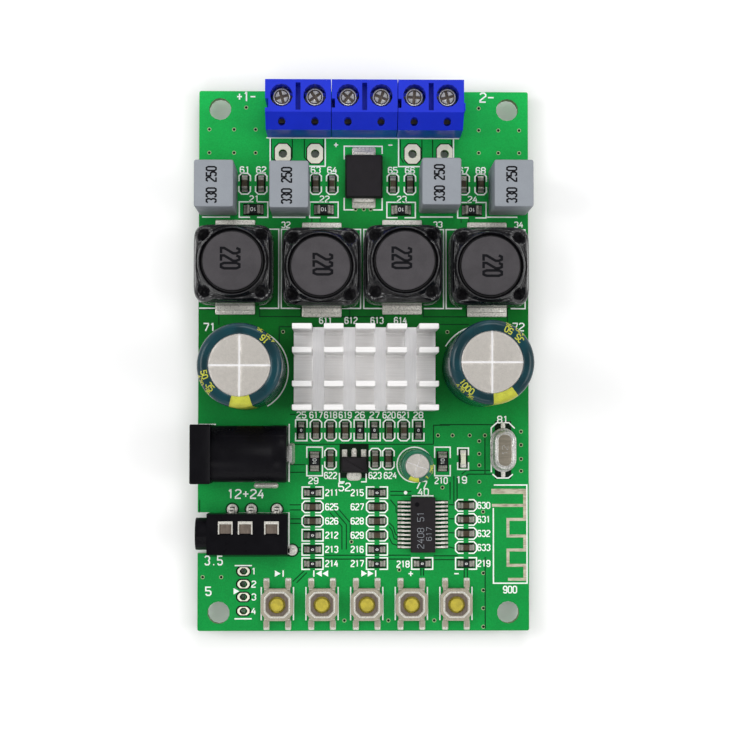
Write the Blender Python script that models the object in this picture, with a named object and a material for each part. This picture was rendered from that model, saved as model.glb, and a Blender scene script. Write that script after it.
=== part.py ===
"""Audio amplifier board: a circuit board with its connectors, coils, capacitors, heatsink and buttons.

Frame: metres, +Z up, origin at the centre of the board's underside. +Y points to the screw terminals,
-X to the power and audio jacks. Heights named *_height are measured from the board's top face.
"""

from math import cos, pi, radians, sin

import bmesh
import bpy
from mathutils import Matrix

# Circuit board
board_width = 0.052
board_length = 0.085
board_thickness = 0.0016
row = board_length / 85  # the layout's step along Y, 1 mm on this board
board_corner_radius = 0.0003
mounting_hole_diameter = 0.0035
mounting_hole_inset_x = 0.0033
mounting_hole_inset_y = 0.00285
seat_gap = 0.0003  # solder or air between a part and the board
hole_clearance = 0.0002  # round a lead in its plated hole
lead_projection = 0.002  # trimmed leads below the board
lead_diameter = 0.0006
fine_lead_diameter = 0.0005

# Screw terminals
pole_pitch = 0.00508
poles_per_block = 2
block_count = 3
block_joint = 0.0001  # between neighbouring blocks
block_depth = 0.0073
block_height = 0.010
block_shoulder_depth = 0.005
block_shoulder_height = 0.0073
block_front_inset = 0.0001
rib_width = 0.0012
rib_projection = 0.0004
rib_clearance = 0.0001
chamber_width = 0.0038
chamber_height = 0.0076
chamber_rear_wall = 0.0012
chamber_front_wall = 0.001
entry_width = 0.0032
entry_sill = 0.0008
entry_head = 0.0044
screw_hole_diameter = 0.0035
screw_inset = 0.00245
screw_head_diameter = 0.0027
screw_head_thickness = 0.0011
screw_sink = 0.0015
screw_shank_diameter = 0.0024
screw_recess_width = 0.0005
screw_recess_length = 0.0019
screw_recess_depth = 0.0007
thread_clearance = 0.0001
clamp_width = 0.0031
clamp_plate = 0.0008
clamp_wall = 0.0006
clamp_floor_height = 0.0004
clamp_floor = 0.0004
clamp_top_height = 0.0044
clamp_depth = 0.0042
clamp_side_clearance = 0.0002
clamp_pin_width = 0.001
guard_width = 0.0026
guard_depth = 0.0026
guard_thickness = 0.0003
guard_lip_height = 0.0003
guard_drop = 0.0018  # from the clamp's floor up to the open guard
slot_width = 0.00075
slot_length = 0.0042
slot_depth = 0.0022
slot_inset = 0.0005
test_hole_diameter = 0.0012
test_hole_inset = 0.0062
test_hole_depth = 0.0044

# Film capacitors
film_width = 0.006
film_depth = 7.2 * row
film_height = 0.011
film_edge = 0.0003
film_lead_pitch = 0.005
film_places = ((-0.0229, 26.3 * row), (-0.0115, 26.2 * row), (0.0117, 26.7 * row), (0.0227, 26.45 * row))

# Power inductors
coil_size = 0.0123
coil_height = 0.008
coil_corner_radius = 0.0024
coil_edge = 0.0007
coil_tab_width = 0.006
coil_tab_reach = 0.0007
coil_tab_thickness = 0.0003
coil_gap = 0.00077
coil_shifts = (-0.000635, -0.000075, -0.000495, -0.000165)  # along X, as the coils were soldered
coil_rows = (14.55 * row, 14.15 * row, 14.6 * row, 14.24 * row)

# Electrolytic capacitors
can_diameter = 0.0125
can_height = 0.020
can_roll = 0.0007  # radius of the rolled foot and shoulder
can_lead_pitch = 0.005
can_places = ((-0.01842, -1.65 * row), (0.01858, -1.16 * row))
small_can_diameter = 0.005
small_can_height = 0.011
small_can_roll = 0.0003
small_can_lead_pitch = 0.002
small_can_place = (0.0080, -16.5 * row)

# Heatsink and amplifier chip
sink_length = 0.022
sink_width = 0.013
sink_height = 0.0138
sink_base = 0.0018
sink_place = (0.0001, -1.6 * row)
fin_thickness = 0.00085
fin_inner_spacing = 0.00506
fin_outer_spacing = 0.00355
fin_slot_width = 0.0018
fin_segments = 5
pad_thickness = 0.0005
pad_size = (0.010, 0.006)
amplifier_body = (0.011, 0.0061, 0.0011)
amplifier_reach = 0.0081
amplifier_pins = 16
amplifier_pitch = 0.00065

# Power jack
jack_front = 0.0264  # front face, from the board's middle
jack_y = -14.75 * row
jack_width = 0.009
jack_height = 0.011
jack_length = 0.0146
jack_flange = 0.0031
jack_barrel_width = 0.0088
jack_barrel_height = 0.0104
jack_bore_diameter = 0.0063
jack_bore_depth = 0.0108
jack_bore_height = 0.0065
jack_pin_diameter = 0.0025
jack_pin_recess = 0.001
jack_tab_thickness = 0.0005
jack_tab_width = 0.0026
jack_tab_gap = 0.0003
jack_spring_thickness = 0.0003
jack_spring_width = 0.0024
jack_spring_length = 0.0062
jack_spring_x = 0.0062  # from the front face to the spring's front end

# Audio jack
audio_y = -27.17 * row
audio_front = 0.02605
audio_shoulder = 0.02425
audio_rear = 0.0118
audio_width = 0.0063
audio_height = 0.005
audio_nose_diameter = 0.005
audio_bore_diameter = 0.0036
audio_bore_depth = 0.0128
audio_window = (0.0023, 0.0022)
audio_window_depth = 0.0004
audio_window_x = (-0.02135, -0.01829, -0.01424)
audio_window_y = audio_y + 0.00097
audio_tab_x = (-0.02057, -0.01764, -0.01356)
audio_tab_y = audio_y + 0.00371
audio_rear_tab = (-0.0112, audio_y - 0.00278)
audio_tab_size = 0.0007
audio_tab_height = 0.0012
notch_depth = 0.0018
notch_clearance = 0.0007

# Push buttons
button_count = 5
button_pitch = 0.007
button_first_x = -0.0135
button_y = -38.3 * row
button_size = 0.005
button_corner = 0.0011
button_base_height = 0.0011
button_well_diameter = 0.0034
button_well_floor = 0.0005
button_cover_height = 0.0016
button_cover_thickness = 0.00025
button_hole_diameter = 0.0026
button_rim_width = 0.0003
button_rim_height = 0.0002
plunger_diameter = 0.0021
plunger_flange_diameter = 0.0030
plunger_flange_thickness = 0.00025
plunger_height = 0.00205
button_travel = 0.00025
button_stop_clearance = 0.00005  # left below the plunger at the end of its travel
button_leg_offset = 0.0017
button_leg_reach = 0.0036
button_leg_width = 0.0007

# Small chips
leg_thickness = 0.00018
leg_foot = 0.0006
controller_place = (0.0093, -25.9 * row)
controller_body = (0.0039, 0.0087, 0.0012)
controller_reach = 0.0078
controller_leg_height = 0.0009
controller_pins = 12
controller_pitch = 0.000635
leg_width = 0.00026
regulator_place = (-0.00153, -16.5 * row)
regulator_body = (0.0041, 0.0025, 0.0015)
regulator_pitch = 0.0015
regulator_leg_width = 0.0005
regulator_leg_length = 0.0007
regulator_tab = (0.0018, 0.0011)
diode_place = (0.0, 28.8 * row)
diode_body = (0.0059, 0.0069, 0.0021)
diode_edge = 0.0005
diode_tab_width = 0.0031
diode_reach = 0.0081
diode_tab_height = 0.0011
crystal_place = (0.02195, -14.2 * row)
crystal_flange = (0.0041, 0.0069)
crystal_can = (0.0034, 0.0062)
crystal_height = 0.0035
crystal_can_edge = 0.0004
crystal_flange_height = 0.0004
crystal_lead_width = 0.0006
crystal_lead_reach = 0.0082
led_place = (0.01565, -15.57 * row)
led_body = (0.0008, 0.0016, 0.0006)

# Bare pads
output_pad_x = (-0.01276, -0.0077, 0.0077, 0.01276)
output_pad_y = 32.6 * row
output_hole_diameter = 0.0014
usb_hole_x = -0.01885
usb_hole_y = (-33.2 * row, -35.2 * row, -37.2 * row, -39.4 * row)
usb_hole_diameter = 0.0008

# Chip resistors and capacitors soldered to the board: width, length and thickness
chip_0603 = (0.0008, 0.0016, 0.0006)
chip_0805 = (0.00125, 0.002, 0.0006)
chip_sink = 0.0001  # solder under a chip, as part of the board
filter_chip_x = (-0.01881, -0.01618, -0.00758, -0.00495, 0.00456, 0.0073, 0.01585, 0.01851)
filter_chip_y = 27.77 * row
snubber_x = (-0.01744, -0.00629, 0.00591, 0.01713)
snubber_y = 23.73 * row
gain_row_x = (-0.00976, -0.00748, -0.00518, -0.00287, -0.0006, 0.00174, 0.00393, 0.00627, 0.00857)
gain_row_y = -11.11 * row
supply_chips = ((-0.00515, -15.58 * row), (0.00176, -15.59 * row), (0.00391, -15.59 * row))
supply_resistors = ((-0.00771, -16.01 * row), (0.0124, -15.94 * row))
logic_columns_x = (-0.00797, 0.00214)
logic_rows_y = tuple(-step * row for step in (20.94, 23.13, 25.36, 27.6, 29.82, 31.94))
right_column_x = 0.01613
right_rows_y = tuple(-step * row for step in (22.9, 25.08, 27.3, 29.5, 31.98))
reset_resistor = (0.00921, -31.97 * row)

# Facets round a circle
fine_sides = 24
round_sides = 14
lead_sides = 8
corner_steps = 3
arch_steps = 10

top = board_thickness
lead_end = -lead_projection
seat = top + seat_gap
pole_count = poles_per_block * block_count
terminal_front = board_length / 2 - block_front_inset
screw_y = terminal_front - screw_inset
clamp_rear = terminal_front - block_depth + chamber_rear_wall + clamp_side_clearance
coil_pitch = coil_size + coil_gap
coil_x = [(k - 1.5) * coil_pitch + shift for k, shift in enumerate(coil_shifts)]
coil_places = tuple(zip(coil_x, coil_rows))


def material(name, color, roughness, metallic=0.0):
    """A Principled BSDF of one colour."""
    made = bpy.data.materials.new(name)
    made.use_nodes = True
    shader = made.node_tree.nodes["Principled BSDF"]
    shader.inputs["Base Color"].default_value = (*color, 1.0)
    shader.inputs["Roughness"].default_value = roughness
    shader.inputs["Metallic"].default_value = metallic
    made.diffuse_color = (*color, 1.0)
    return made


def circle(radius, sides, center=(0.0, 0.0), turn=0.5):
    """Corners of a regular polygon, anticlockwise; turn is in steps between corners."""
    angles = [2 * pi * (i + turn) / sides for i in range(sides)]
    return [(center[0] + radius * cos(a), center[1] + radius * sin(a)) for a in angles]


def rectangle(width, depth, center=(0.0, 0.0)):
    """Corners of a rectangle, anticlockwise."""
    x, y = center
    return [(x + sx * width / 2, y + sy * depth / 2) for sx, sy in ((-1, -1), (1, -1), (1, 1), (-1, 1))]


def rounded_rectangle(width, depth, radius, center=(0.0, 0.0), steps=corner_steps):
    """A rectangle's outline with its corners rounded in the given number of steps."""
    points = []
    for corner, (sx, sy) in enumerate(((1, 1), (-1, 1), (-1, -1), (1, -1))):
        middle_x = center[0] + sx * (width / 2 - radius)
        middle_y = center[1] + sy * (depth / 2 - radius)
        for step in range(steps + 1):
            angle = pi / 2 * (corner + step / steps)
            points.append((middle_x + radius * cos(angle), middle_y + radius * sin(angle)))
    return points


def stadium(width, length, steps=2 * corner_steps):
    """An outline with straight sides along Y and half-round ends."""
    points = []
    for side in (1, -1):
        for step in range(steps + 1):
            angle = pi * step / steps
            x, y = width / 2 * cos(angle), width / 2 * sin(angle)
            points.append((side * x, side * (y + (length - width) / 2)))
    return points


# How each axis of extrusion places an outline's two coordinates and its height
axis_frames = {
    "X": Matrix(((0, 0, 1), (1, 0, 0), (0, 1, 0))).to_4x4(),
    "Y": Matrix(((0, 1, 0), (0, 0, 1), (1, 0, 0))).to_4x4(),
    "Z": Matrix.Identity(4),
}


def prism(outline, low, high, axis="Z"):
    """An outline carried along an axis from low to high. Along X the outline holds (y, z), along Y (z, x)."""
    shape = bmesh.new()
    corners = [shape.verts.new((x, y, low)) for x, y in outline]
    floor = shape.faces.new(corners)
    carried = bmesh.ops.extrude_face_region(shape, geom=[floor])["geom"]
    lifted = [item for item in carried if isinstance(item, bmesh.types.BMVert)]
    bmesh.ops.translate(shape, verts=lifted, vec=(0, 0, high - low))
    bmesh.ops.transform(shape, matrix=axis_frames[axis], verts=shape.verts)
    bmesh.ops.recalc_face_normals(shape, faces=shape.faces)
    return shape


def box(size, center, low):
    """A block of size (x, y, z) on the height low."""
    return prism(rectangle(size[0], size[1], center), low, low + size[2])


def post(diameter, low, high, center=(0.0, 0.0), sides=lead_sides):
    """An upright round post."""
    return prism(circle(diameter / 2, sides, center), low, high)


def turned(profile, sides):
    """A profile of (radius, height) turned about the Z axis, with its ends on the axis."""
    shape = bmesh.new()
    line = [shape.verts.new((radius, 0.0, height)) for radius, height in profile]
    edges = [shape.edges.new(pair) for pair in zip(line, line[1:])]
    bmesh.ops.spin(
        shape,
        geom=line + edges,
        cent=(0, 0, 0),
        axis=(0, 0, 1),
        angle=2 * pi,
        steps=sides,
        use_merge=True,
    )
    bmesh.ops.remove_doubles(shape, verts=shape.verts, dist=1e-7)
    bmesh.ops.recalc_face_normals(shape, faces=shape.faces)
    return shape


def domed_prism(outline, low, high, edge):
    """A prism whose upper edge is bevelled."""
    shape = prism(outline, low, high)
    rim = [e for e in shape.edges if all(v.co.z > high - 1e-7 for v in e.verts)]
    bmesh.ops.bevel(shape, geom=rim, offset=edge, segments=2, affect="EDGES", profile=0.5)
    return shape


def gather(shapes):
    """Several separate shapes as one."""
    whole = bmesh.new()
    for shape in shapes:
        piece = bpy.data.meshes.new("piece")
        shape.to_mesh(piece)
        shape.free()
        whole.from_mesh(piece)
        bpy.data.meshes.remove(piece)
    return whole


def temporary(shape):
    """A hidden object that a Boolean reads."""
    mesh = bpy.data.meshes.new("operand")
    shape.to_mesh(mesh)
    shape.free()
    made = bpy.data.objects.new("operand", mesh)
    made.hide_render = True
    made.display_type = "WIRE"
    bpy.context.scene.collection.objects.link(made)
    return made


def solid(base, joined=(), holes=(), smooth=30):
    """One closed mesh: the base with the joined shapes added, and then the holes taken away."""
    body = temporary(base)
    operands = [body]
    for operation, shapes in (("UNION", joined), ("DIFFERENCE", holes)):
        if shapes:
            operands.append(temporary(gather(shapes)))
            boolean = body.modifiers.new(operation.lower(), "BOOLEAN")
            boolean.operation = operation
            boolean.object = operands[-1]
            boolean.solver = "EXACT"
            boolean.use_self = True
    depsgraph = bpy.context.evaluated_depsgraph_get()
    mesh = bpy.data.meshes.new_from_object(body.evaluated_get(depsgraph))
    for operand in operands:
        bpy.data.objects.remove(operand)
    mesh.shade_smooth()
    mesh.set_sharp_from_angle(angle=radians(smooth))
    return mesh


def place(name, mesh, look, location=(0.0, 0.0, 0.0)):
    """A named object of the model. The first object of a mesh gives it its material."""
    if not mesh.materials:
        mesh.materials.append(look)
    made = bpy.data.objects.new(name, mesh)
    made.location = location
    bpy.context.scene.collection.objects.link(made)
    return made


def lead_hole(center, diameter=lead_diameter):
    """A plated hole with clearance round a lead; its flats clear the lead's corners."""
    radius = (diameter / 2 + hole_clearance) / cos(pi / lead_sides)
    return prism(circle(radius, lead_sides, center), -seat_gap, top + seat_gap)


def terminal_x(pole):
    """The middle of a terminal pole, counted from the left."""
    return (pole - (pole_count - 1) / 2) * pole_pitch


def button_x(button):
    """The middle of a push button, counted from the left."""
    return button_first_x + button * button_pitch


def chip_places():
    """Each chip resistor and capacitor as (x, y, size, lies along X)."""
    places = [(x, filter_chip_y, chip_0603, False) for x in filter_chip_x]
    places += [(x, snubber_y, chip_0805, True) for x in snubber_x]
    places += [(x, gain_row_y, chip_0603, False) for x in gain_row_x]
    places += [(x, y, chip_0603, False) for x, y in supply_chips]
    places += [(x, y, chip_0805, False) for x, y in supply_resistors]
    places += [(x, y, chip_0603, True) for x in logic_columns_x for y in logic_rows_y]
    places += [(right_column_x, y, chip_0603, True) for y in right_rows_y]
    places.append((*reset_resistor, chip_0603, True))
    return places


def two_leads(place_xy, pitch):
    """The places of two leads in a line along Y."""
    return [(place_xy[0], place_xy[1] + side * pitch / 2) for side in (-1, 1)]


def jack_tabs():
    """The power jack's pin tab and spring tab, as (x, y, thickness along X, width along Y)."""
    pin_x = -jack_front + jack_length + jack_tab_gap + jack_tab_thickness / 2
    spring_x = -jack_front + jack_spring_x + jack_spring_length - jack_tab_thickness / 2
    return (
        (pin_x, jack_y, jack_tab_thickness, jack_tab_width),
        (spring_x, jack_y, jack_tab_thickness, jack_spring_width),
    )


def audio_tabs():
    """The places of the audio jack's solder tabs."""
    return [(x, audio_tab_y) for x in audio_tab_x] + [audio_rear_tab]


def make_board(look):
    """The board with its holes, its notch and its chip resistors and capacitors."""
    half_x = board_width / 2
    corner_x, corner_y = half_x - mounting_hole_inset_x, board_length / 2 - mounting_hole_inset_y
    corners = [(sx * corner_x, sy * corner_y) for sx in (-1, 1) for sy in (-1, 1)]
    holes = [post(mounting_hole_diameter, -seat_gap, seat, corner, round_sides) for corner in corners]
    notch_width = audio_nose_diameter + 2 * notch_clearance
    holes.append(box((2 * notch_depth, notch_width, top + 2 * seat_gap), (-half_x, audio_y), -seat_gap))
    clamp_leads = [(terminal_x(pole), clamp_rear + clamp_wall / 2) for pole in range(pole_count)]
    holes += [lead_hole(lead, clamp_pin_width * 2**0.5) for lead in clamp_leads]
    film_leads = [lead for spot in film_places for lead in two_leads(spot, film_lead_pitch)]
    small_can_leads = two_leads(small_can_place, small_can_lead_pitch)
    holes += [lead_hole(lead, fine_lead_diameter) for lead in film_leads + small_can_leads]
    can_leads = [lead for spot in can_places for lead in two_leads(spot, can_lead_pitch)]
    holes += [lead_hole(lead) for lead in can_leads]
    for x, y, thickness, width in jack_tabs():
        slot = (thickness + 2 * hole_clearance, width + 2 * hole_clearance, top + 2 * seat_gap)
        holes.append(box(slot, (x, y), -seat_gap))
    holes += [lead_hole(tab, audio_tab_size * 2**0.5) for tab in audio_tabs()]
    holes += [post(output_hole_diameter, -seat_gap, seat, (x, output_pad_y)) for x in output_pad_x]
    holes += [post(usb_hole_diameter, -seat_gap, seat, (usb_hole_x, y)) for y in usb_hole_y]
    chips = []
    for x, y, (width, length, thickness), along_x in chip_places():
        flat = (length, width) if along_x else (width, length)
        chips.append(box((*flat, thickness + chip_sink), (x, y), top - chip_sink))
    outline = rounded_rectangle(board_width, board_length, board_corner_radius)
    place("circuit_board", solid(prism(outline, 0.0, top), chips, holes), look)


def terminal_housing_mesh():
    """One two-pole terminal housing about its own middle, with its chambers, screw holes, slot and rib."""
    width = poles_per_block * pole_pitch - block_joint
    front, rear = terminal_front, terminal_front - block_depth
    shoulder = front - block_shoulder_depth
    side = [
        (rear, seat),
        (front, seat),
        (front, top + block_height),
        (shoulder, top + block_height),
        (rear, top + block_shoulder_height),
    ]
    base = prism(side, -width / 2, width / 2, "X")
    rib_y = front - block_depth / 2
    rib = box(
        (2 * rib_projection, rib_width, block_shoulder_height - seat_gap - rib_clearance),
        (width / 2, rib_y),
        seat + rib_clearance,
    )
    groove_size = (2 * (rib_projection + rib_clearance), rib_width + 2 * rib_clearance, block_height * 1.5)
    holes = [box(groove_size, (-width / 2, rib_y), 0.0)]
    chamber_length = block_depth - chamber_rear_wall - chamber_front_wall
    chamber_y = rear + chamber_rear_wall + chamber_length / 2
    slot_y = front - slot_inset - slot_length / 2
    block_top = top + block_height
    holes.append(box((slot_width, slot_length, 2 * slot_depth), (0.0, slot_y), block_top - slot_depth))
    for pole in range(poles_per_block):
        x = (pole - (poles_per_block - 1) / 2) * pole_pitch
        chamber = box((chamber_width, chamber_length, chamber_height), (x, chamber_y), top)
        entry_size = (entry_width, 2 * chamber_front_wall + seat_gap, entry_head - entry_sill)
        entry = box(entry_size, (x, front), top + entry_sill)
        screw_hole = post(screw_hole_diameter, top + entry_head, 2 * block_top, (x, screw_y), round_sides)
        test_place = (x, front - test_hole_inset)
        test_hole = post(test_hole_diameter, block_top - test_hole_depth, 2 * block_top, test_place)
        holes.append(solid_shape(chamber, [entry, screw_hole, test_hole]))
    return solid(base, [rib], holes)


def solid_shape(base, joined):
    """Shapes that meet, joined to one shape."""
    mesh = solid(base, joined)
    shape = bmesh.new()
    shape.from_mesh(mesh)
    bpy.data.meshes.remove(mesh)
    return shape


def terminal_clamp_mesh():
    """The clamp of one pole: floor, rear wall and threaded bridge in one bent strip, with a solder pin."""
    floor_low = top + clamp_floor_height
    floor_high = floor_low + clamp_floor
    bridge_low = top + clamp_top_height
    bridge_high = bridge_low + clamp_plate
    back, front = clamp_rear, clamp_rear + clamp_depth
    side = [
        (back, floor_low),
        (front, floor_low),
        (front, floor_high),
        (back + clamp_wall, floor_high),
        (back + clamp_wall, bridge_low),
        (front, bridge_low),
        (front, bridge_high),
        (back, bridge_high),
    ]
    strip = prism(side, -clamp_width / 2, clamp_width / 2, "X")
    pin_size = (clamp_pin_width, clamp_wall, floor_high - lead_end - clamp_floor / 2)
    pin = box(pin_size, (0.0, clamp_rear + clamp_wall / 2), lead_end)
    thread_radius = (screw_shank_diameter / 2 + thread_clearance) / cos(pi / round_sides)
    thread_low = bridge_low - seat_gap
    thread = post(2 * thread_radius, thread_low, top + block_height, (0.0, screw_y), round_sides)
    return solid(strip, [pin], [thread])


def make_terminals(blue, steel, brass):
    """The terminal blocks: housings, and for each pole a clamp, a wire guard and a screw."""
    housing = terminal_housing_mesh()
    for block in range(block_count):
        x = (block - (block_count - 1) / 2) * poles_per_block * pole_pitch
        place(f"terminal_housing_{block + 1}", housing, blue, (x, 0, 0))
    clamp = terminal_clamp_mesh()
    guard_low = top + clamp_floor_height + clamp_floor + guard_drop
    guard_high = guard_low + guard_thickness
    guard_plate = box((guard_width, guard_depth, guard_thickness), (0.0, 0.0), guard_low)
    lip_size = (guard_width, guard_thickness, guard_thickness + guard_lip_height)
    lip = box(lip_size, (0.0, (guard_thickness - guard_depth) / 2), guard_low)
    guard = solid(guard_plate, [lip])
    head_high = top + block_height - screw_sink
    head_low = head_high - screw_head_thickness
    shank = post(screw_shank_diameter, guard_high + seat_gap, head_low + seat_gap, sides=round_sides)
    head = post(screw_head_diameter, head_low, head_high, sides=round_sides)
    recess_low = head_high - screw_recess_depth
    across = box((screw_recess_length, screw_recess_width, 2 * screw_recess_depth), (0.0, 0.0), recess_low)
    along = box((screw_recess_width, screw_recess_length, 2 * screw_recess_depth), (0.0, 0.0), recess_low)
    screw = solid(head, [shank], [solid_shape(across, [along])])
    for pole in range(pole_count):
        x = terminal_x(pole)
        place(f"terminal_clamp_{pole + 1}", clamp, brass, (x, 0, 0))
        place(f"wire_guard_{pole + 1}", guard, steel, (x, screw_y, 0))
        place(f"terminal_screw_{pole + 1}", screw, steel, (x, screw_y, 0))


def make_film_capacitors(grey):
    """Four moulded boxes on two leads each."""
    case = domed_prism(rectangle(film_width, film_depth), seat, top + film_height, film_edge)
    spots = two_leads((0, 0), film_lead_pitch)
    leads = [post(fine_lead_diameter, lead_end, seat + film_edge, spot) for spot in spots]
    mesh = solid(case, leads)
    for number, spot in enumerate(film_places, 1):
        place(f"film_capacitor_{number}", mesh, grey, (*spot, 0))


def make_inductors(black):
    """Four shielded inductors, each with a tinned tab at either end."""
    outline = rounded_rectangle(coil_size, coil_size, coil_corner_radius)
    case = domed_prism(outline, seat, top + coil_height, coil_edge)
    tab_size = (coil_tab_width, coil_size + 2 * coil_tab_reach, coil_tab_thickness)
    mesh = solid(case, [box(tab_size, (0.0, 0.0), seat + coil_tab_thickness / 3)])
    for number, spot in enumerate(coil_places, 1):
        place(f"power_inductor_{number}", mesh, black, (*spot, 0))


def electrolytic_mesh(diameter, height, roll, lead_pitch, lead, sides):
    """A crimped can: a rolled foot, the groove above it, a rounded shoulder and two leads."""
    radius = diameter / 2
    profile = [
        (0.0, seat),
        (radius - roll, seat),
        (radius, seat + roll),
        (radius, seat + 2.5 * roll),
        (radius - roll, seat + 3.5 * roll),
        (radius, seat + 4.5 * roll),
        (radius, top + height - roll),
        (radius - roll / 3, top + height - roll / 3),
        (radius - roll, top + height),
        (0.0, top + height),
    ]
    leads = [post(lead, lead_end, seat + roll, point) for point in two_leads((0, 0), lead_pitch)]
    return solid(turned(profile, sides), leads)


def make_electrolytics(sleeve):
    """Two main cans and a small one."""
    main = electrolytic_mesh(can_diameter, can_height, can_roll, can_lead_pitch, lead_diameter, fine_sides)
    for name, spot in zip(("main_capacitor_left", "main_capacitor_right"), can_places):
        place(name, main, sleeve, (*spot, 0))
    small_size = (small_can_diameter, small_can_height, small_can_roll, small_can_lead_pitch)
    small = electrolytic_mesh(*small_size, fine_lead_diameter, round_sides)
    place("filter_capacitor", small, sleeve, (*small_can_place, 0))


def gull_leg(reach, height, center, width, axis="Y"):
    """One bent strip across a chip: a foot at either end, knees, and a bar through the body."""
    half, knee = reach / 2, leg_foot + leg_thickness
    low, high = seat, top + height
    outline = [
        (-half, low),
        (-half + knee, low),
        (-half + knee, high - leg_thickness),
        (half - knee, high - leg_thickness),
        (half - knee, low),
        (half, low),
        (half, low + leg_thickness),
        (half - leg_foot, low + leg_thickness),
        (half - leg_foot, high),
        (leg_foot - half, high),
        (leg_foot - half, low + leg_thickness),
        (-half, low + leg_thickness),
    ]
    if axis == "Y":
        outline = [(high_z, across) for across, high_z in outline]
    return prism(outline, center - width / 2, center + width / 2, axis)


def make_heatsink(metal, rubber, epoxy):
    """The amplifier chip, the thermal pad on it and the finned heatsink on that."""
    width, depth, height = amplifier_body
    body = box((width, depth, height - seat_gap), (0.0, 0.0), seat)
    legs = []
    for pin in range(amplifier_pins):
        x = (pin - (amplifier_pins - 1) / 2) * amplifier_pitch
        legs.append(box((leg_width, amplifier_reach, leg_thickness), (x, 0.0), seat + leg_thickness))
    place("amplifier_chip", solid(body, legs), epoxy, (*sink_place, 0))
    pad_low = top + height + seat_gap
    pad = box((*pad_size, pad_thickness), (0.0, 0.0), pad_low)
    place("thermal_pad", solid(pad), rubber, (*sink_place, 0))
    base_low = pad_low + pad_thickness + seat_gap
    base_high, tip = base_low + sink_base, top + sink_height
    middle = (fin_inner_spacing / 2, fin_inner_spacing / 2 + fin_outer_spacing)
    fin_low = base_high - sink_base / 2
    fins = [
        box((sink_length, fin_thickness, tip - fin_low), (0.0, y), fin_low)
        for y in (-middle[1], -middle[0], middle[0], middle[1])
    ]
    segment = (sink_length - (fin_segments - 1) * fin_slot_width) / fin_segments
    slots = []
    for gap in range(1, fin_segments):
        x = -sink_length / 2 + gap * segment + (gap - 0.5) * fin_slot_width
        slots.append(box((fin_slot_width, 2 * sink_width, sink_height), (x, 0.0), base_high))
    base = box((sink_length, sink_width, sink_base), (0.0, 0.0), base_low)
    place("heatsink", solid(base, fins, slots), metal, (*sink_place, 0))


def make_power_jack(black, tin):
    """The power jack's housing, its centre pin with the rear tab, and its spring contact."""
    bore_z = top + jack_bore_height
    barrel_radius = jack_barrel_width / 2
    barrel_top = top + jack_barrel_height - barrel_radius
    arch = [(-barrel_radius, seat), (barrel_radius, seat)]
    for step in range(arch_steps + 1):
        angle = pi * step / arch_steps
        arch.append((barrel_radius * cos(angle), barrel_top + barrel_radius * sin(angle)))
    barrel = prism(arch, jack_flange / 2, jack_length, "X")
    flange_outline = rectangle(jack_width, jack_height - seat_gap, (0.0, (seat + top + jack_height) / 2))
    flange = prism(flange_outline, 0.0, jack_flange, "X")
    bore_outline = circle(jack_bore_diameter / 2, round_sides, (0.0, bore_z))
    bore = prism(bore_outline, -seat_gap, jack_bore_depth, "X")
    pin_hole_radius = (jack_pin_diameter / 2 + hole_clearance) / cos(pi / lead_sides)
    pin_hole_outline = circle(pin_hole_radius, lead_sides, (0.0, bore_z))
    pin_hole = prism(pin_hole_outline, jack_bore_depth - seat_gap, jack_length + seat_gap, "X")
    spring_low = bore_z - jack_bore_diameter / 2 - jack_spring_thickness
    well_size = (
        jack_spring_length + 2 * hole_clearance,
        jack_spring_width + 2 * hole_clearance,
        bore_z - jack_bore_diameter / 4 - top + seat_gap,
    )
    well = box(well_size, (jack_spring_x + jack_spring_length / 2, 0.0), top - seat_gap)
    housing = solid(flange, [barrel], [solid_shape(bore, [pin_hole, well])])
    origin = (-jack_front, jack_y, 0)
    place("power_jack_housing", housing, black, origin)
    rear = jack_length + jack_tab_gap
    pin_outline = circle(jack_pin_diameter / 2, lead_sides, (0.0, bore_z))
    pin = prism(pin_outline, jack_pin_recess, rear + jack_tab_thickness / 2, "X")
    tab_high = bore_z + jack_pin_diameter / 2 + hole_clearance
    tab_size = (jack_tab_thickness, jack_tab_width, tab_high - lead_end)
    tab = box(tab_size, (rear + jack_tab_thickness / 2, 0.0), lead_end)
    place("power_jack_pin", solid(tab, [pin]), tin, origin)
    leaf_low = spring_low - seat_gap
    leaf = box((jack_spring_length, jack_spring_width, jack_spring_thickness), (0.0, 0.0), leaf_low)
    stem_size = (jack_tab_thickness, jack_spring_width, leaf_low + jack_spring_thickness / 2 - lead_end)
    stem = box(stem_size, ((jack_spring_length - jack_tab_thickness) / 2, 0.0), lead_end)
    spring = solid(leaf, [stem])
    place("power_jack_spring", spring, tin, (jack_spring_x + jack_spring_length / 2 - jack_front, jack_y, 0))


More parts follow.
